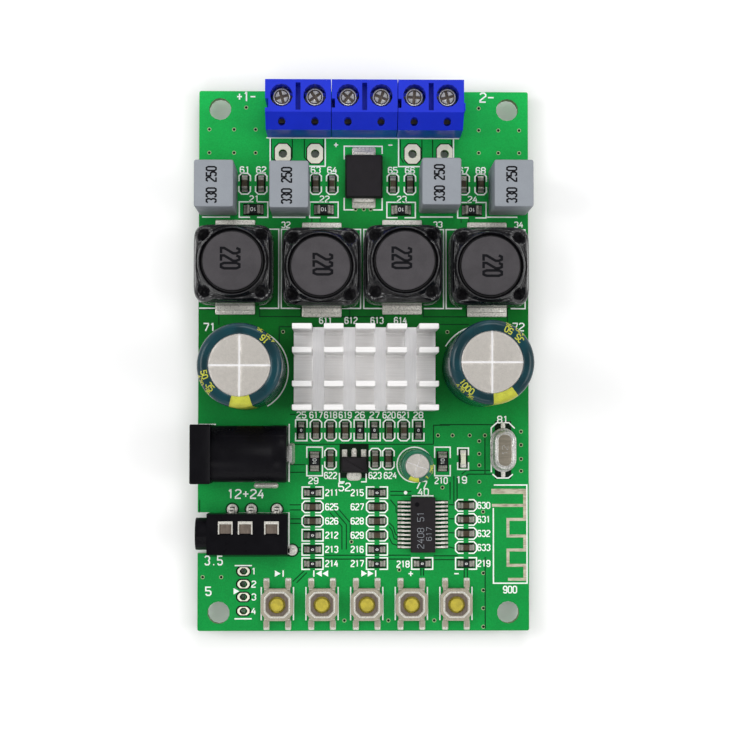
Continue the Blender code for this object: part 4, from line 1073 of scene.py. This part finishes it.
class AMPLIFIER_OT_coils(bpy.types.Operator):
    """Makes the four varnished coils with their matt faces, tabs and figures"""

    bl_idname = "amplifier.coils"
    bl_label = "Coils"

    def execute(self, context):
        tab = block(6.0, 13.65, SEAT, SEAT + 0.3, 0.12, 0.08, look=2)
        foot = block(6.25, 1.75, BEDDED, SEAT + 0.06, 0.2, 0.1, look=2)
        mark = figures("220", 2.8, 0.4, 9.56, 9.585, 3, squeeze=0.44)
        coils = zip(COIL_PLACES, COIL_CORE_SHIFTS, COIL_MARK_SHIFTS)
        for number, (place, core, shift) in enumerate(coils, 1):
            figure = moved(mark, core[0] + shift[0], core[1] + shift[1], 0.0, -TURN)
            shapes = [self.form(number, core), tab, *either_side(foot, y=6.6), figure]
            piece(
                f"coil_{number}", placed(shapes, place),
                ["coil varnish", "ferrite", "solder", "ink", "clear varnish"],
                stands_for=(f"power_inductor_{number}",), crease=60.0,
            )
        return {"FINISHED"}

    def form(self, seed, core):
        """A superellipse |x|^7 + |y|^7 = r^7 at the wall drawn in to circles round the core, whose middle is
        a little off. The top's height is a profile over that blend, less four deep pits by the corners, plus
        low waves for the uneven varnish."""
        sides = 120
        angle = np.arange(sides) * 2 * np.pi / sides
        way = spokes(angle)
        square = 1 / (np.abs(way) ** 7).sum(axis=1) ** (1 / 7)
        walls = np.array(
            ((6.0, 1.95), (6.12, 2.3), (6.13, 3.4), (6.06, 3.8), (6.06, 7.4), (6.0, 7.95), (5.82, 8.2)),
        )
        blend = np.array((
            (0.94, 8.42), (0.86, 8.72), (0.76, 8.9), (0.66, 8.98), (0.56, 8.98), (0.46, 8.95), (0.36, 8.92),
            (0.27, 8.98), (0.18, 9.14), (0.09, 9.34), (0.0, 9.46),
        ))
        ring = np.array((
            (5.2, 9.56), (5.08, 9.5), (4.96, 9.3), (4.86, 9.0), (4.74, 8.7), (4.62, 8.7), (4.55, 9.1),
            (4.52, 9.42), (4.46, 9.54), (4.34, 9.57), (2.4, 9.57), (0.3, 9.57),
        ))
        mid = 5.32 + blend[:, :1] * (5.8 * square - 5.32)
        near = np.broadcast_to(ring[:, :1], (len(ring), sides))
        radius = np.concatenate((walls[:, :1] * square, mid, near))
        height = np.repeat(np.concatenate((walls[:, 1], blend[:, 1], ring[:, 1]))[:, None], sides, axis=1)
        centring = np.concatenate((np.zeros(len(walls)), 1 - blend[:, 0], np.ones(len(ring))))[:, None]
        x = radius * way[:, 0] + centring * core[0]
        y = radius * way[:, 1] + centring * core[1]
        pit = np.exp(-((np.abs(x) - 4.5) ** 2 + (np.abs(y) - 4.5) ** 2) / 0.55)
        waves = 0.5 * np.sin(3 * angle + seed) + 0.35 * np.sin(8 * angle + 2 * seed)
        waves += 0.2 * np.sin(17 * angle + seed)
        first, last = len(walls), len(walls) + len(blend) + 2
        height[first:last] += 0.09 * waves - 2.0 * pit[first:last]
        points, faces, marks = lofted(np.stack((x, y, height), axis=-1))
        skirt, face = len(walls) - 1, len(walls) + len(blend) + 7
        rows = np.minimum(np.arange(len(marks)) // sides, len(radius))
        marks = np.where(rows >= face, 1, np.where(rows < skirt, 4, 0))
        marks[-2:] = 4, 1
        return points, faces, marks.tolist()


class AMPLIFIER_OT_cans(bpy.types.Operator):
    """Makes the three electrolytic cans with their sleeves, stripes, figures and stamped tops"""

    bl_idname = "amplifier.cans"
    bl_label = "Electrolytic cans"

    def execute(self, context):
        left, right = CAN_PLACES
        large = {"radius": 6.25, "top": 21.585, "roll": 0.95, "figure": 0.84, "sleeve": "can sleeve"}
        small = {"radius": 2.5, "top": 12.6, "roll": 0.42, "figure": 0.62, "sleeve": "small sleeve"}
        self.can("main_capacitor_left", left, (-87.0, 16.0), ((206, "50 35"), (46, "16")), **large)
        self.can("main_capacitor_right", right, (-69.6, 18.5), ((52, "35 50"), (224, "1000")), **large)
        self.can("filter_capacitor", SMALL_CAN_PLACE, (-104.0, 20.0), ((-12, "25"), (-50, "1")), **small)
        return {"FINISHED"}

    def can(self, node_name, place, stripe, texts, radius, top, roll, figure, sleeve):
        """A turned sleeve that rolls over the shoulder, with faces inside the stripe's angles in another
        finish, a bright disc, four stamped quarters and wrapped figures. The disc is seen in the cross
        between the quarters, and its brightness there is a painted highlight."""
        foot = ((0.86, 0.0), (0.97, 0.1), (1.0, 0.5), (1.0, 1.3), (0.955, 1.8), (1.0, 2.4))
        foot = [(radius * share, SEAT + rise) for share, rise in foot]
        shoulder = spokes(np.linspace(0, TURN, 7)) * roll + (radius - roll, top - roll)
        lip = radius * 0.735
        rim = ((lip + 0.12, top - 0.02), (lip, top - 0.1), (lip - 0.03, top - 0.5))
        profile = np.concatenate((foot, shoulder, rim))
        sides = 90
        points, faces, _ = turned(profile, sides)
        middle = np.arange(sides) * 360 / sides + 180 / sides
        inside = np.abs((middle - stripe[0] + 180) % 360 - 180) < stripe[1]
        marks = np.zeros(len(faces), int)
        rows = len(profile) - 1
        marks[: rows * sides] = np.tile(inside, rows)
        # Painted highlight: the bright disc shows in the cross between the stamped quarters
        disc = turned(((lip, top - 0.7), (lip - 0.02, top - 0.36), (0.2, top - 0.36)), 48, look=3)
        crown = ((1.0, 0.0), (1.0, 0.2), (0.98, 0.24), (0.9, 0.27), (0.6, 0.29), (0.2, 0.3))
        crown = [(share, top - 0.38 + rise) for share, rise in crown]
        stamped = pillow(quarter_outline(radius * 0.026, lip - 0.06), crown, 2)
        large = radius > 5
        tilt = 0.0 if large else -0.35
        quarters = [moved(stamped, turn=turn * TURN + tilt) for turn in range(4)]
        wall = np.concatenate((foot[-1:], shoulder, rim[:1]))
        run = np.linalg.norm(np.diff(wall, axis=0), axis=1).sum()
        lines = [(text, figure, 0.85, angle, radius - 0.9, run - figure * 0.66) for angle, text in texts]
        if large:
            lines += [
                ("470 35", figure * 0.9, 0.8, angle + 3, radius, run - figure * 1.86)
                for angle, _ in texts
            ]
        labels = []
        for text, size, squeeze, angle, arc_radius, start in lines:
            mark = figures(text, size, size * 0.19, -0.01, 0.014, 1, 0.15, squeeze)
            labels.append(wrapped(mark, angle, wall, arc_radius, start))
        piece(
            node_name.replace("capacitor", "can"),
            placed([(points, faces, marks.tolist()), disc, *quarters, *labels], place),
            [sleeve, "stripe", "can aluminium", "milled aluminium and painted glint"],
            stands_for=(node_name,), crease=50.0,
        )


class AMPLIFIER_OT_film_capacitors(bpy.types.Operator):
    """Makes the four grey film capacitors with plain figures on top"""

    bl_idname = "amplifier.film_capacitors"
    bl_label = "Film capacitors"

    def execute(self, context):
        case = block(6.0, 7.2, SEAT, 12.6, 0.35, 0.28, 4)
        lead = turned(((0.24, -2.0), (0.25, -1.9), (0.25, SEAT + 0.4)), 10, look=2)
        mark = moved(figures("330 250", 1.45, 0.25, 12.59, 12.612, 1, squeeze=0.6), -0.35, -0.25, 0.0, TURN)
        for number, place in enumerate(FILM_PLACES, 1):
            piece(
                f"film_case_{number}", placed([case, mark, *either_side(lead, y=2.5)], place),
                ["film case", "ink", "solder"], stands_for=(f"film_capacitor_{number}",),
            )
        return {"FINISHED"}


class AMPLIFIER_OT_heatsink(bpy.types.Operator):
    """Makes the finned heatsink with rolled edges"""

    bl_idname = "amplifier.heatsink"
    bl_label = "Heatsink"

    def execute(self, context):
        low, high = heights("heatsink")
        wide, slot_width, segments = 22.0, 1.8, 5
        segment = (wide - slot_width * (segments - 1)) / segments
        columns = (np.arange(segments) - (segments - 1) / 2) * (segment + slot_width)
        base = block(wide, 13.0, low, low + 1.7, 0.15, 0.12, look=1)
        land = block(segment, 12.98, low + 0.3, low + 1.8, 0.1, 0.06)
        fin = block(segment, 0.85, low + 1.6, high, 0.12, 0.1)
        foot = block(segment - 0.1, 1.25, low + 1.6, low + 2.05, 0.2, 0.18)
        rows = (-6.08, -2.53, 2.53, 6.08)
        shapes = [
            base, repeated(land, crossed((columns, (0.0,)))), repeated(fin, crossed((columns, rows))),
            repeated(foot, [(x, y * 0.96) for x, y in crossed((columns, rows))]),
        ]
        piece(
            "finned_heatsink", placed(shapes, centre("heatsink")), ["heatsink aluminium", "milled aluminium and painted glint"],
            stands_for=("heatsink",),
        )
        return {"FINISHED"}


class AMPLIFIER_OT_screws(bpy.types.Operator):
    """Makes the six terminal screws with their crossed slots and threads"""

    bl_idname = "amplifier.screws"
    bl_label = "Terminal screws"

    def execute(self, context):
        sides = 36
        for number, place in enumerate(SCREW_PLACES, 1):
            low, high = heights(f"terminal_screw_{number}")
            crests = np.arange(low + 0.2, high - 1.25, 0.2)
            thread = np.column_stack((np.where(np.arange(len(crests)) % 2, 1.06, 1.2), crests))
            head = np.array((
                (1.2, -1.1), (1.31, -1.1), (1.35, -1.04), (1.35, -0.14), (1.32, -0.05), (1.24, 0.0),
                (1.14, -0.02),
                (1.1, -0.1), (1.08, -0.62), (0.1, -0.66),
            )) + (0.0, high)
            points, faces, marks = turned(np.concatenate((((0.9, low),), thread, head)), sides)
            # Painted shade: the recess's wall and floor take the darker steel
            floor = 3 * sides + 1
            marks[-floor:] = [1] * floor
            crown = [
                (share, high - drop)
                for share, drop in ((1.0, 0.7), (1.0, 0.1), (0.94, 0.03), (0.7, 0), (0.3, 0))
            ]
            raised = pillow(quarter_outline(0.22, 0.98), crown)
            quarters = [moved(raised, turn=0.3 * number + turn * TURN) for turn in range(4)]
            piece(
                f"screw_steel_{number}", placed([(points, faces, marks), *quarters], place),
                ["screw steel", "steel in painted shade"], body=f"screw_{number}",
                stands_for=(f"terminal_screw_{number}",), crease=40.0,
            )
        return {"FINISHED"}


class AMPLIFIER_OT_jacks(bpy.types.Operator):
    """Makes the power jack's housing and leaf, and the contacts and solder of both jacks"""

    bl_idname = "amplifier.jacks"
    bl_label = "Jacks and contacts"

    def execute(self, context):
        self.audio_contacts()
        self.power_jack()
        self.spring_leaf()
        blobs = [
            self.blob(3.9, 0.9, 0.35, -15.3, -19.75), self.blob(0.9, 3.4, 0.8, *JACK_TABS[0]),
            self.blob(0.9, 3.2, 0.5, *JACK_TABS[1]),
        ]
        piece("power_jack_solder", blobs, ["solder"], crease=60.0)
        return {"FINISHED"}

    def audio_contacts(self):
        """Bent frames with a plate in the windows, and tabs that come down beside the jack. The sunk plates
        take the darker steel as painted shade.
        """
        top = heights("audio_jack")[1]
        window = joined([
            strip(((-1.02, -0.95), (-1.02, 0.95), (1.02, 0.95), (1.02, -0.95)), 0.2, top - 0.38, top + 0.03),
            moved(block(1.9, 0.42, top - 0.38, top + 0.02, 0.05, 0.04), y=0.82),
            moved(block(1.8, 1.5, top - 0.6, top - 0.28, 0.05, 0.05, look=1), y=-0.1),
            moved(block(1.5, 0.16, top - 0.4, top - 0.2, 0.05, 0.05, look=1), y=0.2),
        ])
        tab = joined([
            block(0.74, 0.6, -2.0, BOARD_TOP + 1.5, 0.1, 0.06),
            moved(block(0.76, 0.8, BOARD_TOP + 1.05, BOARD_TOP + 1.5, 0.1, 0.1), y=-0.35),
        ])
        post = moved(block(0.74, 0.74, -2.0, BOARD_TOP + 1.3, 0.1, 0.06), *AUDIO_TABS[3])
        shapes = [repeated(window, AUDIO_WINDOWS), repeated(tab, AUDIO_TABS[:3]), post]
        piece("audio_contacts", shapes, ["solder", "steel in painted shade"], crease=50.0)

    def blob(self, width, depth, high, x, y):
        """A long heap of solder on the board."""
        wall = (
            (0.0, BEDDED), (0.02, BOARD_TOP + 0.05), (0.15, BOARD_TOP + high * 0.6), (0.32, BOARD_TOP + high),
        )
        return moved(rounded(width, depth, min(width, depth) * 0.49, wall, 4), x, y)

    def power_jack(self):
        """A housing whose rings run from the bottom of the bore out to its mouth, over the square flange and
        along the arched barrel to the rear. The arch's reach solves |middle + t x way| = radius."""
        low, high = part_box("power_jack_housing")
        front, rear, flange_top = low.x / MM, high.x / MM, high.z / MM
        y = centre("power_jack_housing")[1]
        flange_half, arch_radius = 4.5, 4.4
        bore_z, arch_z = BOARD_TOP + 6.5, BOARD_TOP + 6.0
        corners = [
            math.atan2(z - bore_z, side * half) for side in (1, -1)
            for half, z in ((flange_half, flange_top), (flange_half, SEAT), (arch_radius, SEAT))
        ]
        way = spokes(np.unique(np.concatenate((np.arange(96) * 2 * np.pi / 96, np.mod(corners, 2 * np.pi)))))

        def flange(inset):
            return box_reach(way, flange_half - inset, bore_z - SEAT - inset, flange_top - bore_z - inset)

        def arch(inset):
            radius, lift = arch_radius - inset, bore_z - arch_z
            over = -lift * way[:, 1] + np.sqrt(radius**2 - (lift * way[:, 0]) ** 2)
            under = box_reach(way, radius, bore_z - SEAT - inset, 99.0)
            return np.where(under * way[:, 1] > -lift, over, under)

        bottom, shoulder = front + 10.8, front + 3.1
        sections = (
            (bottom, 0.3), (bottom, 3.15), (front + 0.3, 3.15), (front, 3.4), (front, flange(0.15)),
            (front + 0.15, flange(0.0)), (shoulder - 0.15, flange(0.0)), (shoulder, flange(0.12)),
            (shoulder, arch(0.06)), (rear - 2.6, arch(0.06)), (rear - 2.5, arch(0.0)),
            (rear - 0.3, arch(0.0)),
            (rear - 0.1, arch(0.08)), (rear, arch(0.3)), (rear, arch(2.4)),
        )
        shell = lofted([across(x, reach, way, (y, bore_z)) for x, reach in sections])
        piece(
            "power_jack_shell", [shell], ["jack plastic"],
            stands_for=("power_jack_housing",),
            crease=40.0,
        )

    def spring_leaf(self):
        """A bent leaf along the bottom of the bore with its tab down through the board, in place of the CAD
        spring. Each ring is the bar's section at one point of its middle line."""
        low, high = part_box("power_jack_spring")
        start, end, foot = low.x / MM, high.x / MM, low.z / MM
        y, rest = centre("power_jack_housing")[1], BOARD_TOP + 3.45
        line = ((start, rest + 0.1), (start + 0.8, rest + 0.35), (start + 2.2, rest + 0.3), (end - 0.5, rest))
        section = ((-0.75, -0.1), (0.75, -0.1), (0.75, 0.1), (-0.75, 0.1))
        leaf = lofted([[(x, y + side, z + lift) for side, lift in section] for x, z in line])
        tab = moved(block(0.9, 2.4, foot, rest, 0.1, 0.08), *JACK_TABS[1])
        piece(
            "power_jack_leaf", [leaf, tab], ["solder"],
            stands_for=("power_jack_spring",),
        )


class AMPLIFIER_OT_buttons(bpy.types.Operator):
    """Makes the pressed covers, plungers, legs and solder of the five buttons"""

    bl_idname = "amplifier.buttons"
    bl_label = "Push buttons"

    def execute(self, context):
        cap = turned(
            ((1.48, 2.4), (1.5, 2.45), (1.5, 2.6), (1.46, 2.65), (1.05, 2.66), (1.04, 3.45), (0.98, 3.56),
             (0.86, 3.62), (0.6, 3.645), (0.1, 3.65)), 40,
        )
        for number, place in enumerate(BUTTON_PLACES, 1):
            piece(
                f"button_top_{number}", placed([self.cover()], place),
                ["button steel", "solder", "steel in painted shade"],
                stands_for=(f"button_cover_{number}",), crease=28.0,
            )
            piece(
                f"button_cap_{number}", placed([cap], place), ["plunger plastic"], body=f"button_{number}",
                stands_for=(f"button_plunger_{number}",), crease=45.0,
            )
        legs = twice(joined(either_side(self.leg(), 1.7)))
        piece("button_legs", [repeated(legs, BUTTON_PLACES)], ["solder"], crease=50.0)
        return {"FINISHED"}

    def cover(self):
        """An octagonal plate carried round its section: out under the plate, up its rim, over a raised
        octagonal ridge and down into the hole. Its corners are cut where |x| + |y| = 1.56 x the half width.
        The ridge takes the bright solder finish as a painted highlight, and the slope down into the hole the
        darker steel as painted shade."""
        way = circle(64, 0.5)
        size = np.abs(way)
        octagon = way * np.minimum(1 / size.max(axis=1), 1.56 / size.sum(axis=1))[:, None]
        low = heights("button_cover_1")[0]
        rings = (
            (way, 1.3, 0.0), (octagon, 2.42, 0.0), (octagon, 2.5, 0.08), (octagon, 2.5, 0.18),
            (octagon, 2.4, 0.27),
            (octagon, 2.12, 0.29), (octagon, 2.06, 0.4), (octagon, 1.98, 0.45), (octagon, 1.84, 0.45),
            (octagon, 1.77, 0.38), (octagon, 1.72, 0.28), (way, 1.36, 0.26), (way, 1.3, 0.2),
        )
        points, faces, _ = lofted([flat(shape * half, low + rise) for shape, half, rise in rings], loop=True)
        # Finish per ring: the ridge is a painted highlight in bright solder, the slope into the hole painted
        # shade in darker steel
        return points, faces, np.repeat((0, 0, 0, 0, 0, 0, 1, 1, 1, 1, 2, 2, 2), len(way)).tolist()

    def leg(self):
        """A bent leg: a bar carried down from the base and out along the board, in a low heap of solder."""
        path = (
            (2.3, 2.2, 0.22), (2.62, 2.12, 0.22), (2.75, 1.78, 0.24), (3.0, 1.66, 0.2), (3.66, 1.66, 0.18),
        )
        section = ((0.31, 0), (-0.31, 0), (-0.31, 1), (0.31, 1))
        bar = lofted([[(x, y, z + thick * up) for x, up in section] for y, z, thick in path])
        wall = ((0.0, BEDDED), (0.02, BOARD_TOP + 0.05), (0.12, BOARD_TOP + 0.16), (0.19, BOARD_TOP + 0.2))
        return joined([bar, moved(rounded(0.98, 1.55, 0.2, wall), y=3.3)])


class AMPLIFIER_OT_chips(bpy.types.Operator):
    """Makes the controller, regulator, diode, crystal and lamp"""

    bl_idname = "amplifier.chips"
    bl_label = "Chips, crystal and lamp"

    def execute(self, context):
        self.controller()
        self.regulator()
        self.diode()
        self.crystal()
        self.lamp()
        return {"FINISHED"}

    def gull_leg(self, width, start, foot, high, thick, outer):
        """A gull-wing leg: a bar of the given width whose middle line leaves the body, bends down and runs
        out flat on its pad; offsets of half the thickness give its top and underside."""
        low = BOARD_TOP + 0.02
        line = np.array((
            (start, high), (foot - 0.75, high), (foot - 0.55, high - 0.12), (foot - 0.42, low + 0.14),
            (foot - 0.25, low + thick), (foot, low + thick),
        ))
        slope = np.gradient(line, axis=0)
        slope /= np.linalg.norm(slope, axis=1, keepdims=True)
        normal = np.stack((-slope[:, 1], slope[:, 0]), axis=-1) * thick / 2
        section = ((1, line - normal), (1, line + normal), (-1, line + normal), (-1, line - normal))
        bars = [
            (points[:, 0], np.full(len(line), side * width / 2), points[:, 1])
            for side, points in section
        ]
        rings = np.transpose(bars, (2, 0, 1))
        pad = bed(outer - foot + 1.0, width * 1.35, 0.03, 0.06, 0.015)
        return joined([lofted(rings), moved(pad, (outer + foot - 1.0) / 2)])

    def controller(self):
        """A moulded body with a slight waist at its legs, and twelve legs a side."""
        low, high = heights("controller_chip")
        place, rows, pitch = centre("controller_chip"), 12, 0.635
        etched = high - SINK, high + 0.004
        body = rounded(
            3.9, 8.7, 0.14,
            ((0.1, low), (0.02, low + 0.45), (0.0, low + 0.52), (0.08, high - 0.1), (0.13, high)),
        )
        dot = turned(((0.36, etched[0]), (0.36, etched[1]), (0.05, etched[1])), 20, look=1)
        shapes = [
            body, moved(dot, -0.95, 3.2),
            moved(figures("2408 51", 1.0, 0.07, *etched, 2, squeeze=0.9), -0.4, -0.8, 0.0, TURN),
            moved(figures("617", 0.8, 0.06, *etched, 2), 0.9, -1.4, 0.0, TURN),
        ]
        piece(
            "controller_body", placed(shapes, place), ["chip epoxy", "jack plastic", "film case"],
            stands_for=("controller_chip",),
        )
        leg = self.gull_leg(0.25, 1.8, 3.88, low + 0.5, 0.17, 3.95)
        spots = [
            (0.0, (row - (rows - 1) / 2) * pitch, 0.0, turn)
            for row in range(rows) for turn in (0.0, math.pi)
        ]
        beds = either_side(bed(2.1, 7.6, look=1), 2.95)
        legs = placed([repeated(leg, spots), *beds], place)
        piece("controller_legs", legs, ["solder", "mask gap"])

    def regulator(self):
        """A moulded body with three legs above and one broad tab in solder below."""
        low, high = heights("voltage_regulator")
        body = rounded(
            4.1, 2.5, 0.16,
            ((0.12, low), (0.0, low + 0.5), (0.0, low + 0.62), (0.12, high - 0.08), (0.2, high)),
        )
        piece(
            "regulator_body", placed([body], REGULATOR_PLACE), ["chip epoxy"],
            stands_for=("voltage_regulator",),
        )
        foot, knee = BOARD_TOP + 0.02, BOARD_TOP + 0.5
        legs = [
            *(moved(block(0.52, 1.1, foot, knee, 0.08, 0.06), x, 1.6) for x in (-1.5, 1.5)),
            moved(block(0.56, 1.5, foot, knee, 0.08, 0.06), y=1.85),
            *(moved(bed(0.8, 1.3, 0.08, 0.1, 0.05), x, 1.75) for x in (-1.5, 0.0, 1.5)),
            moved(block(1.85, 1.2, foot, knee, 0.4, 0.1), y=-1.7),
            moved(bed(2.3, 1.5, 0.12, 0.6, 0.1), y=-1.75),
        ]
        piece("regulator_legs", placed(legs, REGULATOR_PLACE), ["solder"], crease=50.0)
        under = moved(bed(4.6, 5.4, 0.008, 0.3), y=0.6)
        piece("regulator_bed", placed([under], REGULATOR_PLACE), ["bare laminate"])

    def diode(self):
        """A moulded block with sloping walls and a bent tab at either end."""
        low, high = heights("protection_diode")
        place = centre("protection_diode")
        body = rounded(
            5.9, 6.9, 0.3,
            ((0.22, low), (0.0, low + 0.8), (0.0, low + 0.95), (0.24, high - 0.08), (0.3, high)),
        )
        piece(
            "diode_body", placed([body], place), ["chip epoxy"],
            stands_for=("protection_diode",),
        )
        tab = moved(block(3.1, 0.62, BOARD_TOP + 0.02, low + 0.9, 0.12, 0.1), y=3.72)
        solder = moved(bed(3.7, 2.0, 0.16, 0.25, 0.12), y=3.85)
        tabs = twice(joined([tab, solder]))
        piece("diode_tabs", placed([tabs], place), ["solder"], crease=50.0)

    def crystal(self):
        """A stadium-shaped can with a rolled top on a wider flange, and a pad in solder at either end. The
        rolled wall is in the brighter screw steel, a painted highlight on the can's own darker steel that the
        top face shows; the pads lie on near-black beds, a painted dark reflection of the solder.
        """
        low, high = heights("crystal")
        place, size = centre("crystal"), (4.1, 6.9, 2.04)
        roll = (0.86, high - 0.5) - spokes(np.linspace(0, TURN, 6)) * (0.5, -0.5)
        wall = np.concatenate(
            (((0.3, low + 0.3), (0.36, low + 0.7)), roll, ((0.95, high - 0.02), (1.0, high - 0.06))),
        )
        face = ((0.98, high - 0.3), (0.98, high - 0.05), (1.05, high - 0.03))
        # Painted highlight: the rolled wall is in the brighter screw steel
        shapes = [
            rounded(*size, rolled(low, low + 0.42, 0.12, 3), 10), rounded(*size, wall, 10),
            rounded(*size, face, 10, look=1),
            moved(figures("12", 0.9, 0.07, high - 0.09, high - 0.02), turn=TURN),
        ]
        piece(
            "crystal_body", placed(shapes, place), ["screw steel", "crystal can"],
            stands_for=("crystal",), crease=40.0,
        )
        # Painted dark reflection: near-black beds where the solder pads lie
        wire = block(0.7, 1.5, BEDDED, BOARD_TOP + 0.3, 0.3, 0.14)
        pads = either_side(joined([bed(2.6, 1.9, look=1), wire]), y=3.6)
        piece(
            "crystal_pads", placed(pads, place), ["solder", "bare laminate"],
            crease=50.0,
        )

    def lamp(self):
        """A clear lens on a white body between two tinned ends."""
        low, high = heights("led")
        body = [block(0.8, 1.6, low, low + 0.34, 0.06, 0.04), block(0.76, 0.95, low + 0.3, high, 0.12, 0.1)]
        piece("lamp_body", placed(body, LED_PLACE), ["lamp lens"], stands_for=("led",))
        end = moved(block(0.9, 0.8, BEDDED, low + 0.22, 0.1, 0.08), y=0.98)
        solder = placed([twice(end), bed(1.45, 2.95, look=1)], LED_PLACE)
        piece("lamp_solder", solder, ["solder", "bare laminate"])


class AMPLIFIER_OT_stage(bpy.types.Operator):
    """Sets the pale floor, the soft lamps and the camera"""

    bl_idname = "amplifier.stage"
    bl_label = "Studio"

    def execute(self, context):
        self.floor(context)
        self.world(context)
        for name, place, power, size in (
            ("left lamp", (-0.3, 0.06, 0.33), 0.5, 0.2), ("right lamp", (0.3, -0.03, 0.33), 0.4, 0.2),
            ("rear lamp", (0.05, 0.32, 0.33), 0.34, 0.18), ("front lamp", (-0.06, -0.33, 0.33), 0.18, 0.18),
        ):
            lamp = bpy.data.lights.new(name, "AREA")
            lamp.energy, lamp.size = power, size
            made = bpy.data.objects.new(name, lamp)
            made.location = place
            made.rotation_euler = (-made.location).to_track_quat("-Z", "Y").to_euler()
            context.scene.collection.objects.link(made)
        camera = bpy.data.cameras.new("camera")
        camera.sensor_width = 36.0
        camera.lens = 83.2
        camera.clip_start, camera.clip_end = 0.01, 10.0
        eye = bpy.data.objects.new("camera", camera)
        eye.location = (-0.00343, -0.01167, 0.27439)
        eye.rotation_euler = (0.03396, -0.01912, 0.0004)
        context.scene.collection.objects.link(eye)
        context.scene.camera = eye
        context.scene.view_settings.view_transform = "Standard"
        return {"FINISHED"}

    def floor(self, context):
        """A plain square just under the lead tips, a little brighter to the camera than its own colour, most
        of all away from the board."""
        half = context.scene.amplifier_sizes.floor_size / 2
        low = cad_box[0].z - 0.00002
        mesh = bpy.data.meshes.new("floor")
        corners = [(x, y, low) for x, y in ((-half, -half), (half, -half), (half, half), (-half, half))]
        mesh.from_pydata(corners, [], [(0, 1, 2, 3)])
        made = bpy.data.materials.new("floor")
        made.use_nodes = True
        tree = made.node_tree
        shader = tree.nodes["Principled BSDF"]
        where = tree.nodes.new("ShaderNodeTexCoord").outputs["Object"]
        colour = opaque(context.scene.amplifier_colours.floor)
        values = {"Vector": where, "Colour": colour, "Patch Colour": colour, "Grain": 0.004}
        tree.links.new(grouped(tree, "Mottle", values)["Colour"], shader.inputs["Base Color"])
        shader.inputs["Roughness"].default_value = 0.9
        shader.inputs["Specular IOR Level"].default_value = 0.0
        sideways = node(tree, "ShaderNodeVectorMath", {0: where}, operation="ABSOLUTE")
        beyond = {0: sideways.outputs[0], 1: (cad_box[1].x, cad_box[1].y, 0.0)}
        outside = node(tree, "ShaderNodeVectorMath", beyond, operation="SUBTRACT")
        parts = node(tree, "ShaderNodeSeparateXYZ", {0: outside.outputs[0]})
        away = maths(tree, "MAXIMUM", parts.outputs["X"], parts.outputs["Y"])
        glow = maths(tree, "MULTIPLY", self.seen(tree), ranged(tree, away, 0.0, 0.004, 0.03, 0.12))
        shader.inputs["Emission Color"].default_value = (1.0, 1.0, 1.0, 1.0)
        tree.links.new(glow, shader.inputs["Emission Strength"])
        mesh.materials.append(made)
        plane = bpy.data.objects.new("floor", mesh)
        context.scene.collection.objects.link(plane)

    def seen(self, tree):
        """1 for rays that show the background: from the camera, or by a mirror or glass."""
        path = tree.nodes.new("ShaderNodeLightPath").outputs
        mirrored = maths(tree, "MAXIMUM", path["Is Camera Ray"], path["Is Glossy Ray"])
        return maths(tree, "MAXIMUM", mirrored, path["Is Transmission Ray"])

    def world(self, context):
        """Soft light from overhead, as from a wide diffuser. Where the background itself is seen it is white,
        and mirrors see it dimmer overhead."""
        world = bpy.data.worlds.new("studio")
        world.use_nodes = True
        tree = world.node_tree
        sky = tree.nodes["Background"]
        sky.inputs["Color"].default_value = (1.0, 1.0, 1.0, 1.0)
        where = tree.nodes.new("ShaderNodeTexCoord").outputs["Generated"]
        height = node(tree, "ShaderNodeSeparateXYZ", {0: where}).outputs["Z"]
        white = ranged(tree, height, 0.3, 0.9, 1.0, 0.3)
        soft = ranged(tree, height, 0.6, 1.0, 0.06, 1.6)
        tree.links.new(ranged(tree, self.seen(tree), 0.0, 1.0, soft, white), sky.inputs["Strength"])
        context.scene.world = world


class AMPLIFIER_PT_sidebar(bpy.types.Panel):
    """Lists the pieces, and the colours and sizes that they use"""

    bl_idname = "AMPLIFIER_PT_sidebar"
    bl_label = "Audio Amplifier Board"
    bl_space_type = "VIEW_3D"
    bl_region_type = "UI"
    bl_category = "Amplifier"

    def draw(self, context):
        column = self.layout.column(align=True)
        for operator in OPERATORS:
            column.operator(operator.bl_idname)
        for group in (context.scene.amplifier_sizes, context.scene.amplifier_colours):
            box = self.layout.box()
            for name in group.bl_rna.properties.keys():
                if name not in {"rna_type", "name"}:
                    box.prop(group, name)


OPERATORS = (
    AMPLIFIER_OT_finishes,
    AMPLIFIER_OT_printing,
    AMPLIFIER_OT_copper,
    AMPLIFIER_OT_small_chips,
    AMPLIFIER_OT_coils,
    AMPLIFIER_OT_cans,
    AMPLIFIER_OT_film_capacitors,
    AMPLIFIER_OT_heatsink,
    AMPLIFIER_OT_screws,
    AMPLIFIER_OT_jacks,
    AMPLIFIER_OT_buttons,
    AMPLIFIER_OT_chips,
    AMPLIFIER_OT_stage,
)
CLASSES = (AmplifierColours, AmplifierSizes, *OPERATORS, AMPLIFIER_PT_sidebar)


def register():
    for kind in CLASSES:
        bpy.utils.register_class(kind)
    bpy.types.Scene.amplifier_colours = bpy.props.PointerProperty(type=AmplifierColours)
    bpy.types.Scene.amplifier_sizes = bpy.props.PointerProperty(type=AmplifierSizes)


def unregister():
    del bpy.types.Scene.amplifier_sizes
    del bpy.types.Scene.amplifier_colours
    for kind in reversed(CLASSES):
        bpy.utils.unregister_class(kind)


def main():
    """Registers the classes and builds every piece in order."""
    register()
    for operator in OPERATORS:
        getattr(bpy.ops.amplifier, operator.bl_idname.split(".")[1])()


if __name__ == "__main__":
    main()
